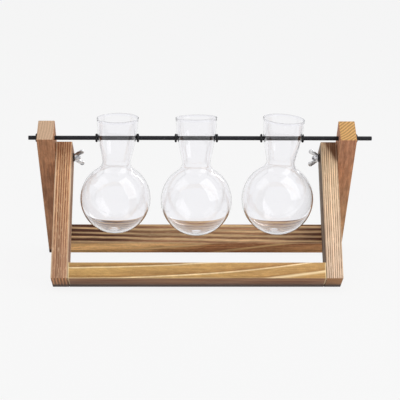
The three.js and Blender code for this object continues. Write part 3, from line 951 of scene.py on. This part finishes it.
# %% Front bar
FRONT_BAR = 251.4
place = bar_place(FRONT)
golden = torched_pine(
    "golden_swept_pine", place, FRONT_BAR / 2,
    rings=dict(width=10.5, heart=(90.0, 20.0), drift=(-0.078, 0.0), bend=(-0.00037, 0.0), wave=2.8,
               phase=1.30, seed=5.7),
    tones=dict(stops=[(0.0, (0.55, 0.325, 0.122)), (0.030, (0.97, 0.770, 0.470)),
                      (0.105, (0.86, 0.620, 0.330)), (0.16, (0.37, 0.188, 0.066)),
                      (0.42, (0.52, 0.300, 0.108)), (1.0, (0.59, 0.352, 0.130))],
               year_change=0.08, streak=0.14, fibre=0.10, mottle=0.10,
               fleck=0.3, fleck_colour=(0.78, 0.53, 0.23),
               low_end=(1.0, 1.02, 1.0), high_end=(1.0, 0.99, 1.0),
               end=(0.56, 0.36, 0.17), end_ring=0.6,
               along_rings=((1, 0, 0), (0.40, 0.200, 0.070), (0.78, 0.490, 0.190)),
               flames=[((0, -1, 0), 0.134, -17.8, 2.2, (0.92, 0.70, 0.40))]),
    scorch=dict(cloud=0.20, colour=(0.27, 0.125, 0.050)),
    rub=dict(reach=1.3, least=0.0, most=0.30, ends=0.85, colour=(0.93, 0.76, 0.46)),
    # Painted shade: the underside, turned to the floor, is tinted darker and cooler.
    faces=[((1, 0, 0), (0.54, 0.48, 0.66), (0.58, 0.50, 0.68))])
stand_batten("front_bar", "front_crossbar", "front_frame", golden, place, FRONT_BAR)

# %% [markdown]
# The rear bar is the darkest board. From both ends, long burns run along the rings of its upper
# face and leave a lighter middle. Stretched noise alone would give streaks that wander, so the
# burns keep to the rings here more than on any other batten. Seen through the bulbs, the bar gives
# them their brown base. Its painted shade along the floor is kept weak. Its front face is tinted
# lighter towards the left end and darker towards the right.

# %% Rear bar
REAR_BAR = 285.0
place = bar_place(REAR)
streaked = torched_pine(
    "dark_streaked_pine", place, REAR_BAR / 2,
    rings=dict(width=6.6, heart=(12.0, 74.0), drift=(0.010, -0.024), wave=5.5, phase=0.36, seed=1.9),
    tones=dict(stops=[(0.0, (0.48, 0.300, 0.150)), (0.25, (0.60, 0.400, 0.215)),
                      (0.42, (0.52, 0.325, 0.165)), (0.60, (0.33, 0.170, 0.085)),
                      (0.86, (0.30, 0.145, 0.072)), (1.0, (0.46, 0.28, 0.14))],
               year_change=0.18, streak=0.32, fibre=0.20, mottle=0.10,
               fleck=0.35, fleck_colour=(0.66, 0.455, 0.265),
               low_end=(1.0, 1.0, 1.0), high_end=(1.0, 1.0, 1.0),
               end=(0.36, 0.21, 0.11), end_ring=0.5,
               flames=[((0, -1, 0), 0.19, -11.0, 2.6, (0.68, 0.44, 0.20)),
                       ((0, -1, 0), 0.13, 6.0, 2.2, (0.72, 0.48, 0.24))]),
    scorch=dict(top=1.15, top_reach=75, foot=1.8, foot_reach=125, late=0.92, band=(0.28, 0.52),
                face=(-1, 0, 0), floor_shade=0.12, colour=(0.052, 0.0125, 0.0060)),
    rub=dict(reach=1.1, least=0.0, most=0.35, ends=0.0, colour=(0.66, 0.47, 0.28)),
    faces=[((0, -1, 0), (1.64, 1.58, 1.34), (0.86, 0.70, 0.60))])
stand_batten("rear_bar", "rear_crossbar", "rear_frame", streaked, place, REAR_BAR)

# %% [markdown]
# The rear legs stand outside the front ones and reach higher, to carry the rod. Each is drilled
# three times: for the bolt, for the rod, and with a cone on the outer face that lets the bolt's
# flat head lie flush. Both legs could be one mirrored mesh, but their grain differs, so only the
# cone is turned end for end for the left leg.

# %% Drills for the rear legs
REAR_ABOVE = 38.8
REAR_LEG_X = 150.9
ROD_UP_LEG = 28.0
ROD_HOLE_R = 2.3
CONE_R = 4.45
CONE_START, CONE_END = 0.3, 2.6
rear_length = LEG_BELOW + REAR_ABOVE
rear_bolt_z = LEG_BELOW - rear_length / 2


def rear_drills(outward):
    face = STOCK_WIDE / 2
    cone = lathe([(face + 1, 0), (face + 1, CONE_R), (face - CONE_START, CONE_R),
                  (face - CONE_END, BOLT_HOLE_R), (face - CONE_END, 0)])
    if outward < 0:
        cone.transform(Matrix.Rotation(math.pi, 4, "Z"))
    cone.transform(Matrix.Translation((0, 0, rear_bolt_z)))
    bolt_hole = side_drill(BOLT_HOLE_R, rear_bolt_z)
    rod_hole = side_drill(ROD_HOLE_R, rear_bolt_z + ROD_UP_LEG)
    return [bolt_hole, rod_hole, cone]


print("rear legs of", round(rear_length, 1), "mm, with the rod", ROD_UP_LEG, "mm above the bolt")

# %% [markdown]
# The left rear leg is a dull umber, and its cut top is the palest thing on it. With so little
# contrast between its rings, a flat colour would nearly do from afar, but close by it would look
# like plastic. Large scorched clouds and soft blotches keep it wood.

# %% Left rear leg
place = leg_place(REAR, -REAR_LEG_X, REAR_ABOVE)
umber = torched_pine(
    "umber_pine", place, rear_length / 2,
    rings=dict(width=2.6, heart=(-120.0, 6.0), drift=(0.03, 0.02), wave=4.0, seed=6.6),
    tones=dict(stops=[(0.0, (0.42, 0.205, 0.108)), (0.45, (0.44, 0.220, 0.116)),
                      (0.80, (0.40, 0.190, 0.098)), (0.93, (0.375, 0.175, 0.090)),
                      (1.0, (0.41, 0.200, 0.104))],
               year_change=0.04, streak=0.10, fibre=0.14, mottle=0.20,
               fleck=0.15, fleck_colour=(0.62, 0.38, 0.22),
               low_end=(1.06, 1.12, 1.16), high_end=(1.08, 1.06, 1.04),
               end=(0.60, 0.405, 0.265), end_ring=0.84),
    scorch=dict(cloud=0.62, foot=0.30, foot_reach=50, late=0.4, colour=(0.21, 0.090, 0.044)),
    rub=dict(reach=1.1, least=0.05, most=0.4, ends=0.0, colour=(0.66, 0.46, 0.29)))
stand_batten("rear_left_batten", "rear_left_leg", "rear_frame", umber, place, rear_length,
             rear_drills(-1))

# %% [markdown]
# The right rear leg is a warmer russet, lighter towards the foot. Its top is orange, with clear
# dark lines across the corner. Lines could be drawn there alone, but it is enough to lay the heart
# of the tree diagonally from the leg: then every face shows the rings as the saw would.

# %% Right rear leg
place = leg_place(REAR, REAR_LEG_X, REAR_ABOVE)
russet = torched_pine(
    "russet_pine", place, rear_length / 2,
    rings=dict(width=3.0, heart=(-46.0, 52.0), drift=(-0.03, 0.015), wave=4.0, seed=9.8),
    tones=dict(stops=[(0.0, (0.47, 0.225, 0.120)), (0.45, (0.50, 0.245, 0.132)),
                      (0.82, (0.45, 0.210, 0.110)), (0.94, (0.41, 0.185, 0.095)),
                      (1.0, (0.46, 0.220, 0.116))],
               year_change=0.05, streak=0.12, fibre=0.15, mottle=0.18,
               fleck=0.25, fleck_colour=(0.72, 0.45, 0.26),
               low_end=(1.24, 1.44, 1.34), high_end=(1.12, 1.08, 1.10),
               end=(0.71, 0.405, 0.150), end_ring=0.60),
    scorch=dict(cloud=0.25, foot=0.2, foot_reach=40, late=0.4, colour=(0.27, 0.112, 0.056)),
    rub=dict(reach=1.1, least=0.05, most=0.35, ends=0.0, colour=(0.76, 0.50, 0.28)))
stand_batten("rear_right_batten", "rear_right_leg", "rear_frame", russet, place, rear_length,
             rear_drills(1))

# %% [markdown]
# ## Clear glass
# The bulbs are blown soda glass. A thin-walled trick on a single skin would be faster, but a
# refracting shader on a true double wall gives the bent view through the base and the second,
# upside-down reflection of each lamp. Shadow rays pass straight through, so the lamps light what
# stands behind the glass. The lip, where the glass gathers in a bead, gets a greyer tint: painted
# shade for the thin dark line that the bead draws by bending the light.

# %% Glass finish
GLASS_BEND = 1.5
SHADOW_TINT = (0.97, 0.97, 0.975)


def clear_glass(name, tint):
    material, tree = new_material(name)
    glass = add(tree, "ShaderNodeBsdfPrincipled", Base_Color=opaque(tint), Transmission_Weight=1.0,
                Roughness=0.0, IOR=GLASS_BEND)
    clear = add(tree, "ShaderNodeBsdfTransparent", Color=opaque(SHADOW_TINT))
    shadow = tree.nodes.new("ShaderNodeLightPath").outputs["Is Shadow Ray"]
    mixed = add(tree, "ShaderNodeMixShader", i0=shadow, i1=glass.outputs[0], i2=clear.outputs[0])
    add(tree, "ShaderNodeOutputMaterial", Surface=mixed.outputs[0])
    return material


blown_glass = clear_glass("clear_blown_glass", (0.980, 0.978, 0.990))
# Painted shade: the greyer lip glass stands for the dark line the bead draws by bending light.
lip_glass = clear_glass("lip_shade_glass", (0.84, 0.84, 0.86))
print("finishes ready:", blown_glass.name, "and", lip_glass.name)

# %% [markdown]
# A vase is a turned form: a nearly round bowl, a soft shoulder, a flaring neck and a rounded lip.
# The outline is made of arcs and one smooth curve for the flare, all as (radius, height) pairs.
# These two helpers draw them.

# %% Arcs and curves


def arc(centre, radius, start, end, steps):
    turn = [start + (end - start) * k / steps for k in range(steps + 1)]
    return [(centre[0] + radius * math.cos(a), centre[1] + radius * math.sin(a)) for a in turn]


def blend(weights, points):
    return tuple(sum(w * p[c] for w, p in zip(weights, points)) for c in (0, 1))


def curve(points, steps):
    """Leaves the first point towards the second, and meets the last one from the third."""
    drawn = []
    for k in range(steps + 1):
        t = k / steps
        weights = ((1 - t) ** 3, 3 * t * (1 - t) ** 2, 3 * t * t * (1 - t), t ** 3)
        drawn.append(blend(weights, points))
    return drawn


print("helpers ready: arc, curve")

# %% [markdown]
# No two of the blown bulbs match, so each has a row of its own: where it hangs on the rod, how
# large its bowl is, how low the bowl's middle hangs, how far the neck holes lie behind its axis,
# and how it leans and slants, in millimetres and degrees. They could share one mesh and differ in
# scale, but then the necks would differ too, and on the real ones the necks are alike.

# %% Sizes of the vases
VASES = {
    "left": dict(x=-83.475, bulb=71.2, hangs=61.5, lean=2.3, offset=3.05, slant=(2.4, 1.6), seed=1.0),
    "middle": dict(x=-4.1, bulb=72.1, hangs=63.3, lean=-0.2, offset=0.45, slant=(0.6, -1.8), seed=4.0),
    "right": dict(x=82.075, bulb=72.8, hangs=62.0, lean=3.2, offset=4.35, slant=(-0.7, 0.6), seed=7.0),
}
print("bulbs", {word: vase["bulb"] for word, vase in VASES.items()})

# %% [markdown]
# The outline runs up the outside, over the lip and down the inside as one loop. The inside isn't
# just a smaller copy: while the glass is soft it sags, so the base is thicker than the wall, and
# the blower's iron leaves a small raised nub in the middle of the base. Height zero is at the rod.

# %% Vase outline
RIM, WAIST = 42.0, 29.0
SHOULDER = 10.0
WALL = 0.65
BASE_SAG = 0.4
LIP = 0.5
RIM_UP = 22.1
NUB_RISE, NUB_R = 1.3, 5.0
LIP_R, LIP_Z = RIM / 2 - LIP, RIM_UP - LIP
LIP_START, LIP_END = -0.25 * math.pi, 1.25 * math.pi
FLARE_LOW_OUT, FLARE_LOW_UP = 0.3, 0.17
FLARE_HIGH_IN, FLARE_HIGH_UP = 0.4, 0.42
BOWL_STEPS, SHOULDER_STEPS, FLARE_STEPS, LIP_STEPS = 44, 8, 26, 12


def vase_wall(shoulder_z, hangs, inset, rise):
    """One skin of the glass, from the base to the lip, inset from the outer one."""
    shoulder_r = WAIST / 2 + SHOULDER
    waist_r = WAIST / 2 - inset
    waist_z = shoulder_z - hangs
    drop = shoulder_z - rise
    flare = LIP_Z - waist_z
    bowl_r = math.hypot(shoulder_r, drop) - SHOULDER - inset
    meet = math.atan2(drop, shoulder_r)
    bowl = arc((0, waist_z - drop), bowl_r, -math.pi / 2, meet, BOWL_STEPS)
    turn = arc((shoulder_r, waist_z), SHOULDER + inset, meet - math.pi, -math.pi, SHOULDER_STEPS)
    neck = curve([(waist_r, waist_z),
                  (waist_r + FLARE_LOW_OUT, waist_z + FLARE_LOW_UP * flare),
                  (LIP_R - inset - FLARE_HIGH_IN, waist_z + FLARE_HIGH_UP * flare),
                  (LIP_R + WALL / 2 - inset, LIP_Z)], FLARE_STEPS)
    return bowl + turn[1:-1] + neck[:-1]


def vase_loop(bulb, hangs):
    """bulb is the bowl's diameter, hangs the way from the rod down to the bowl's middle."""
    shoulder_z = math.sqrt((bulb / 2 + SHOULDER) ** 2 - (WAIST / 2 + SHOULDER) ** 2)
    outside = vase_wall(shoulder_z, hangs, 0, 0)
    lip = arc((LIP_R, LIP_Z), LIP, LIP_START, LIP_END, LIP_STEPS)
    inside = []
    for r, z in vase_wall(shoulder_z, hangs, WALL, BASE_SAG):
        nub = NUB_RISE * math.exp(-(r / NUB_R) ** 2) if z < -hangs else 0.0
        inside.append((r, z + nub))
    loop = outside + lip + inside[::-1]
    loop[0] = (0.0, loop[0][1])
    loop[-1] = (0.0, loop[-1][1])
    return loop


left_loop = vase_loop(VASES["left"]["bulb"], VASES["left"]["hangs"])
print("vase outline of", len(left_loop), "points")

# %% [markdown]
# The neck holes lie a little behind the vase's axis, so a vase hangs with its mouth tipped
# forward. The tilt could be set by eye, but it follows from where the weight lies: the balance
# point of a turned form is a sum of slices, and the vase turns until that point is straight below
# the rod.

# %% Balance of a vase


def balance(loop):
    """The height of the balance point."""
    volume = moment = 0.0
    for (r, z), (s, w) in zip(loop, loop[1:] + loop[:1]):
        low_part = z * (3 * r * r + 2 * r * s + s * s)
        high_part = w * (r * r + 2 * r * s + 3 * s * s)
        volume += (w - z) * (r * r + r * s + s * s) / 3
        moment += (w - z) * (low_part + high_part) / 12
    return moment / volume


print("left vase balances", round(-balance(left_loop), 1), "mm below the rod")

# %% [markdown]
# Blown glass is never quite round. A displacement modifier could dent it, but moving the turned
# vertices by hand keeps the wall's thickness: slow noise presses each bulb in by a trace, the same
# on both skins, and a slant lifts its mouth to one side, more and more towards the rim.

# %% Blow a vase
UPRIGHT = Matrix.Rotation(-math.pi / 2, 4, "Y")
VASE_SIDES = 96
SWAY_SIZE, SWAY_DEPTH = 0.045, 0.0015


def slant_lift(spot, slant):
    return sum(c * math.tan(math.radians(a)) for c, a in zip(spot, slant))


def blow(loop, slant, seed):
    shape = lathe([(z, r) for r, z in loop], VASE_SIDES)
    shape.transform(UPRIGHT)
    for vert in shape.verts:
        sway = noise.noise(vert.co * SWAY_SIZE + Vector((seed, 0, 0)))
        flat = Vector((vert.co.x, vert.co.y, 0))
        vert.co -= flat * (SWAY_DEPTH * abs(sway))
        near_rim = max(0.0, vert.co.z / RIM_UP) ** 2
        vert.co.z += near_rim * slant_lift(flat, slant)
    return shape


print("helper ready: blow")

# %% [markdown]
# A vase is hung in three moves: off the rod's axis, tipped by its balance, and leaned sideways.
# Only then is the rod's hole bored, so that the rod passes straight through the leaning neck. The
# faces of the bead round the mouth get the greyer glass, painted shade for the bead's dark line, as
# a second material of the same piece.

# %% Hang a vase
NECK_HOLE = 6.0
VASE_DROP = 0.7
BEAD_REACH = 1.2
SHARP_GLASS = 50


def on_lip(spot, slant):
    """True on the bead round the mouth, which the slant lifts to one side."""
    height = spot.z - slant_lift(spot, slant)
    return math.hypot(spot.xy.length - LIP_R, height - LIP_Z) < BEAD_REACH * LIP


def hang_vase(word, x, bulb, hangs, lean, offset, slant, seed):
    loop = vase_loop(bulb, hangs)
    tip = Matrix.Rotation(math.atan2(offset, -balance(loop)), 4, "X")
    hang = Matrix.Rotation(math.radians(lean), 4, "Y") @ tip @ Matrix.Translation((0, -offset, 0))
    shape = blow(loop, slant, seed)
    shape.transform(hang)
    shape = carve(shape, [pin(NECK_HOLE / 2, -RIM, RIM, ROUND_SIDES)])
    level = hang.inverted()
    for face in shape.faces:
        face.material_index = int(on_lip(level @ face.calc_center_median(), slant))
    place = ROD @ Matrix.Translation((x, 0, -VASE_DROP))
    piece = finish_piece(f"{word}_bulb_vase", shape, place, blown_glass, f"{word}_hung_vase",
                         [f"{word}_vase"], sharp=SHARP_GLASS)
    piece.data.materials.append(lip_glass)
    return piece


print("helper ready: hang_vase")

# %% [markdown]
# With the table and the helper, each vase is one call. A vase rides on a body of its own, because
# it can swing on the rod without its neighbours.

# %% The vases
for word, vase in VASES.items():
    piece = hang_vase(word, **vase)
    print(piece.name, len(piece.data.polygons), "faces")

# %% [markdown]
# ## Rod and rubber rings
# The rod is drawn steel with a satin black coat. It shows a soft long highlight, and the coat is
# slightly uneven along its length, which noise stretched along the rod gives. The rings are plain
# rubber: nearly matt, with a little dust. A flat black would look like a hole in the picture.

# %% Rod and ring finishes


def here_noise(tree, pace, detail=3.0):
    """Noise in the piece's own metres. pace is one number, or one for each axis."""
    here = tree.nodes.new("ShaderNodeTexCoord").outputs["Object"]
    if isinstance(pace, tuple):
        at = add(tree, "ShaderNodeMapping", Vector=here, Scale=pace).outputs[0]
        return add(tree, "ShaderNodeTexNoise", Vector=at, Scale=1.0, Detail=detail).outputs[0]
    return add(tree, "ShaderNodeTexNoise", Vector=here, Scale=pace, Detail=detail).outputs[0]


def satin_black():
    material, tree = new_material("satin_black_coat")
    streak = here_noise(tree, (60, 1500, 1500))
    thin = smooth(tree, streak, 0.3, 0.7)
    coat = mix_colour(tree, thin, (0.009, 0.0088, 0.012), (0.016, 0.0155, 0.020))
    gloss = smooth(tree, streak, 0.3, 0.7, 0.40, 0.54)
    outer_skin(tree, coat, gloss, (streak, 0.15, 0.00005), Specular_IOR_Level=0.22)
    return material


def black_rubber():
    material, tree = new_material("black_rubber")
    dust = here_noise(tree, 900.0)
    dusty = smooth(tree, dust, 0.45, 0.75)
    tone = mix_colour(tree, dusty, (0.008, 0.008, 0.009), (0.022, 0.021, 0.021))
    gloss = smooth(tree, dust, 0.3, 0.7, 0.55, 0.78)
    outer_skin(tree, tone, gloss, (dust, 0.2, 0.00008), Specular_IOR_Level=0.4)
    return material


rod_coat = satin_black()
ring_rubber = black_rubber()
print("finishes ready:", rod_coat.name, "and", ring_rubber.name)

# %% [markdown]
# A plain cylinder would have knife-sharp ends. The rod's ends are eased with a file, so the outline
# of one end is drawn with a small arc, mirrored, and turned. The coat makes the rod a trace thicker
# than the bare steel.

# %% Rod
ROD_HALF = 172.5
ROD_R = 2.14
ROD_EASE = 0.4

rod_end = [(-ROD_HALF, 0), (-ROD_HALF, ROD_R - ROD_EASE)]
for a in (0.5, 1.0, math.pi / 2):
    rod_end.append((-ROD_HALF + ROD_EASE * (1 - math.cos(a)), ROD_R - ROD_EASE * (1 - math.sin(a))))
rod_outline = rod_end + [(-x, r) for x, r in reversed(rod_end)]
finish_piece("black_rod", lathe(rod_outline), ROD, rod_coat, "rod", ["hanging_rod"])
print("rod", 2 * ROD_HALF, "mm long")

# %% [markdown]
# The rubber rings are pushed along the rod until they hold each neck in place and keep the rod
# from sliding out of the legs. Blender's own torus would do, but the turning helper is at hand and
# turns a small circle about the rod as well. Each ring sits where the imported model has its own.

# %% Rubber rings
RING_R = 1.1
RING_GAP = 0.01
RING_STEPS = 20
ALL_SMOOTH = 180


def rubber_ring(node):
    low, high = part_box(node)
    middle = (low.x + high.x) / 2 / MM
    core = ROD_R + RING_GAP + RING_R
    section = [(RING_R * math.cos(a), core + RING_R * math.sin(a)) for a in ring_angles(RING_STEPS)]
    place = ROD @ Matrix.Translation((middle, 0, 0))
    return finish_piece(f"{node}_rubber", lathe(section, closed=True), place, ring_rubber, "rod",
                        [node], sharp=ALL_SMOOTH)


ring_nodes = [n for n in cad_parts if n.endswith("_ring")]
for node in ring_nodes:
    rubber_ring(node)
print("rings made", len(ring_nodes))

# %% [markdown]
# ## Pivot bolts, washers and wing nuts
# Each pivot is a flat-headed machine bolt pushed in from the outside, with a thin dark washer and
# a cast wing nut inside. The nut is the shiniest thing on the stand: bright zinc over a casting,
# slightly pebbled. A plain mirror would only show the pale room, so grey clouds are painted into
# the zinc's colour as painted dark reflections, and they carry much of its look.

# %% Metal finishes


def bright_zinc():
    material, tree = new_material("bright_zinc")
    pebble = here_noise(tree, 700.0)
    cloud = here_noise(tree, 240.0, 2.0)
    # Painted dark reflections: grey clouds lower the zinc's colour in patches.
    tone = mix_colour(tree, smooth(tree, cloud, 0.35, 0.60), (0.30, 0.30, 0.31), (0.78, 0.78, 0.785))
    gloss = smooth(tree, cloud, 0.3, 0.7, 0.13, 0.24)
    outer_skin(tree, tone, gloss, (pebble, 0.25, 0.0001), Metallic=1.0)
    return material


def black_oxide():
    material, tree = new_material("black_oxide_steel")
    cloud = here_noise(tree, 400.0)
    tone = mix_colour(tree, smooth(tree, cloud, 0.35, 0.7), (0.05, 0.046, 0.042), (0.12, 0.11, 0.10))
    outer_skin(tree, tone, smooth(tree, cloud, 0.3, 0.7, 0.35, 0.5), Metallic=0.8)
    return material


zinc = bright_zinc()
oxide = black_oxide()
print("finishes ready:", zinc.name, "and", oxide.name)

# %% [markdown]
# The hardware is drawn once, for the left side, along X from the rear leg's outer face, and turned
# end for end for the right side. The bolt has a flat head with a cone below it and a six-sided
# socket. Its thread is a real helix: the radius rises and falls with the angle and the distance
# along the shank. A bump map would be lighter, but the bolt's end stands free of the nut and shows
# the thread in outline.

# %% Bolt
WASHER_X, NUT_X, NUT_HUB = 33.5, 34.6, 4.8
BOLT_PROUD = 1.6
BOLT_END = NUT_X + NUT_HUB + BOLT_PROUD
HEAD_FACE, HEAD_BASE, HEAD_R = 0.3, 2.3, 4.0
HEAD_EASE, HEAD_ROLL = 0.12, 0.15
SHANK_R, SHANK_END, SHANK_STEP = 2.0, 28.0, 6
SOCKET_R, SOCKET_FLOOR, SOCKET_SIDES = 1.443, 1.7, 6
PITCH, THREAD_CORE, THREAD_RISE, THREAD_TAPER = 0.7, 1.62, 0.36, 0.6
THREAD_SIDES, THREAD_ROWS = 32, 150


def bolt_thread():
    shape = bmesh.new()
    grid = []
    for j in range(THREAD_ROWS + 1):
        along = SHANK_END + (BOLT_END - SHANK_END) * j / THREAD_ROWS
        taper = min(1.0, (BOLT_END - along) / THREAD_TAPER)
        row = []
        for k, a in enumerate(ring_angles(THREAD_SIDES)):
            crest = abs(((along / PITCH - k / THREAD_SIDES) % 1.0) - 0.5) * 2
            radius = THREAD_CORE + THREAD_RISE * crest * taper
            row.append(shape.verts.new((along, radius * math.cos(a), radius * math.sin(a))))
        grid.append(row)
    for low, high in zip(grid, grid[1:]):
        for k in range(THREAD_SIDES):
            m = (k + 1) % THREAD_SIDES
            shape.faces.new((low[k], low[m], high[m], high[k]))
    shape.faces.new(grid[0])
    shape.faces.new(grid[-1])
    return shape


def pivot_bolt():
    outline = [(HEAD_FACE, 0.0), (HEAD_FACE, HEAD_R - HEAD_ROLL), (HEAD_FACE + HEAD_EASE, HEAD_R)]
    outline += [(HEAD_BASE + SHANK_STEP * k, SHANK_R) for k in range(5)]
    outline += [(SHANK_END, SHANK_R), (SHANK_END, 0.0)]
    socket = pin(SOCKET_R, -1, SOCKET_FLOOR, SOCKET_SIDES)
    bolt = carve(lathe(outline), [socket])
    thread = bolt_thread()
    mesh = bpy.data.meshes.new("thread")
    thread.to_mesh(mesh)
    thread.free()
    bolt.from_mesh(mesh)
    bpy.data.meshes.remove(mesh)
    return bolt


print("bolt", round(BOLT_END, 1), "mm long")

# %% [markdown]
# The washer is a flat stamped ring with its edges broken. A disc with a bored hole would keep its
# sharp edges, so it is turned like the rod, from a closed outline that never reaches the axis.
# Bolts and washers go in together on both sides.

# %% Washers, and bolts in place
WASHER_BORE, WASHER_RIM, WASHER_THICK = 2.17, 4.5, 0.8
BORE_EASE, RIM_EASE, RIM_ROLL = 0.1, 0.12, 0.15
WASHER_SIDES = 64
OUTER_FACE = REAR_LEG_X + STOCK_WIDE / 2


def nut_washer():
    below = [(BORE_EASE, WASHER_BORE), (0.0, WASHER_BORE + BORE_EASE), (0.0, WASHER_RIM - RIM_ROLL),
             (RIM_EASE, WASHER_RIM)]
    above = [(WASHER_THICK - along, radius) for along, radius in reversed(below)]
    return lathe(below + above, WASHER_SIDES, closed=True)


def pivot_place(hand):
    turn = Matrix.Rotation(math.pi if hand > 0 else 0.0, 4, "Z")
    return Matrix.Translation((FRAME_X + hand * OUTER_FACE, 0, PIVOT_Z)) @ turn


for word, hand in (("left", -1), ("right", 1)):
    place = pivot_place(hand)
    finish_piece(f"{word}_bolt", pivot_bolt(), place, zinc, "rear_frame", [f"{word}_pivot_bolt"])
    finish_piece(f"{word}_washer_disc", nut_washer(), place @ Matrix.Translation((WASHER_X, 0, 0)),
                 oxide, f"{word}_washer", [f"{word}_nut_washer"])
    print(word, "bolt and washer at x", round(place.translation.x, 1))

# %% [markdown]
# A wing of the nut is a flat casting: it leaves the hub on a slope, bends upwards and ends in a
# round lobe for the thumb. A curve object with an extrusion could give this too, but a mesh can be
# joined to the hub right away. The outline is two soft bends and an arc, given thickness. u runs
# away from the leg and v outwards from the bolt.

# %% A wing
NUT_TALL, NUT_SPAN = 10.0, 18.8
WING_THICK, LOBE = 2.4, 2.3
WING_ROOT, WING_FOOT, WING_HEEL = (0.9, 2.4), (0.9, 4.3), (4.4, 2.6)
OUTER_PULL, INNER_PULL = (3.0, 6.5), (6.2, 4.3)
LOBE_START, LOBE_END = 0.82 * math.pi, -0.3 * math.pi
LOBE_STEPS, OUTER_STEPS, INNER_STEPS = 18, 9, 8


def soft_bend(start, pull, end, steps):
    """The points after start on a bend that is drawn towards pull."""
    parts = [k / steps for k in range(1, steps + 1)]
    return [blend(((1 - t) ** 2, 2 * t * (1 - t), t * t), (start, pull, end)) for t in parts]


def wing():
    lobe = arc((NUT_TALL - LOBE, NUT_SPAN / 2 - LOBE), LOBE, LOBE_START, LOBE_END, LOBE_STEPS)
    outline = [WING_ROOT, WING_FOOT]
    outline += soft_bend(WING_FOOT, OUTER_PULL, lobe[0], OUTER_STEPS)[:-1]
    outline += lobe
    outline += soft_bend(lobe[-1], INNER_PULL, WING_HEEL, INNER_STEPS)
    shape = bmesh.new()
    heights = (-WING_THICK / 2, WING_THICK / 2)
    sides = [[shape.verts.new((u, v, z)) for u, v in outline] for z in heights]
    shape.faces.new(sides[0])
    shape.faces.new(sides[1][::-1])
    for k in range(len(outline)):
        m = (k + 1) % len(outline)
        shape.faces.new((sides[0][k], sides[1][k], sides[1][m], sides[0][m]))
    return shape


print("helper ready: wing")

# %% [markdown]
# A wing nut is cast, so nothing on it is sharp. The hub and the wings are drawn plainly and
# joined, then remeshed as fine voxels and smoothed, which melts the corners into fillets. A bevel
# can't do this, because it fails where the slanted wings run into the round hub. Only the bore is
# cut afterwards, with a clean edge. The nuts stand as they were left when last tightened.

# %% Wing nuts
VOXEL, SOFT_SHARE, SOFT_PASSES = 0.28, 0.5, 5
NUT_BORE, BORE_PAST = 2.1, 2
SHARP_CAST = 40
HUB_OUTLINE = [(0, 0), (0, 3.9), (0.35, 4.2), (1.2, 4.2), (NUT_HUB - 0.4, 3.2), (NUT_HUB, 2.8),
               (NUT_HUB, 0)]
LEFT_AT, RIGHT_AT = -62, 74


def melt(shape):
    piece = stand_in(shape)
    grains = piece.modifiers.new("voxels", "REMESH")
    grains.mode = "VOXEL"
    grains.voxel_size = VOXEL
    soft = piece.modifiers.new("soft", "SMOOTH")
    soft.factor = SOFT_SHARE
    soft.iterations = SOFT_PASSES
    return worked(piece)


def wing_nut():
    upper, lower = wing(), wing()
    lower.transform(Matrix.Rotation(math.pi, 4, "X"))
    casting = melt(carve(lathe(HUB_OUTLINE), [upper, lower], "UNION"))
    return carve(casting, [pin(NUT_BORE, -BORE_PAST, NUT_TALL + BORE_PAST)])


for word, hand, turn in (("left", -1, LEFT_AT), ("right", 1, RIGHT_AT)):
    turned = Matrix.Translation((NUT_X, 0, 0)) @ Matrix.Rotation(math.radians(turn), 4, "X")
    nut = finish_piece(f"{word}_wing_nut_cast", wing_nut(), pivot_place(hand) @ turned, zinc,
                       f"{word}_nut", [f"{word}_wing_nut"], sharp=SHARP_CAST)
    print(nut.name, len(nut.data.polygons), "faces")

# %% [markdown]
# ## Dowels
# The crossbars are pinned to the legs with beech dowels. They could be turned and fluted like real
# ones, but they are hidden once the joint is closed. So their plain solids stay, with a simple
# close-grained finish.

# %% Dowels


def beech():
    material, tree = new_material("dowel_beech")
    fleck = here_noise(tree, (40, 900, 900))
    tone = mix_colour(tree, smooth(tree, fleck, 0.3, 0.7), (0.56, 0.38, 0.22), (0.70, 0.51, 0.32))
    outer_skin(tree, tone, smooth(tree, fleck, 0.3, 0.7, 0.55, 0.7))
    return material


dowel_wood = beech()
dowels = [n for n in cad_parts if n.endswith("_dowel")]
for node in dowels:
    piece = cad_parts[node]
    piece.data.materials.clear()
    piece.data.materials.append(dowel_wood)
print("dowels finished", len(dowels))

# %% [markdown]
# ## Finish
# The last step shows the colours through the standard view transform.

# %% Finish
scene.view_settings.view_transform = "Standard"
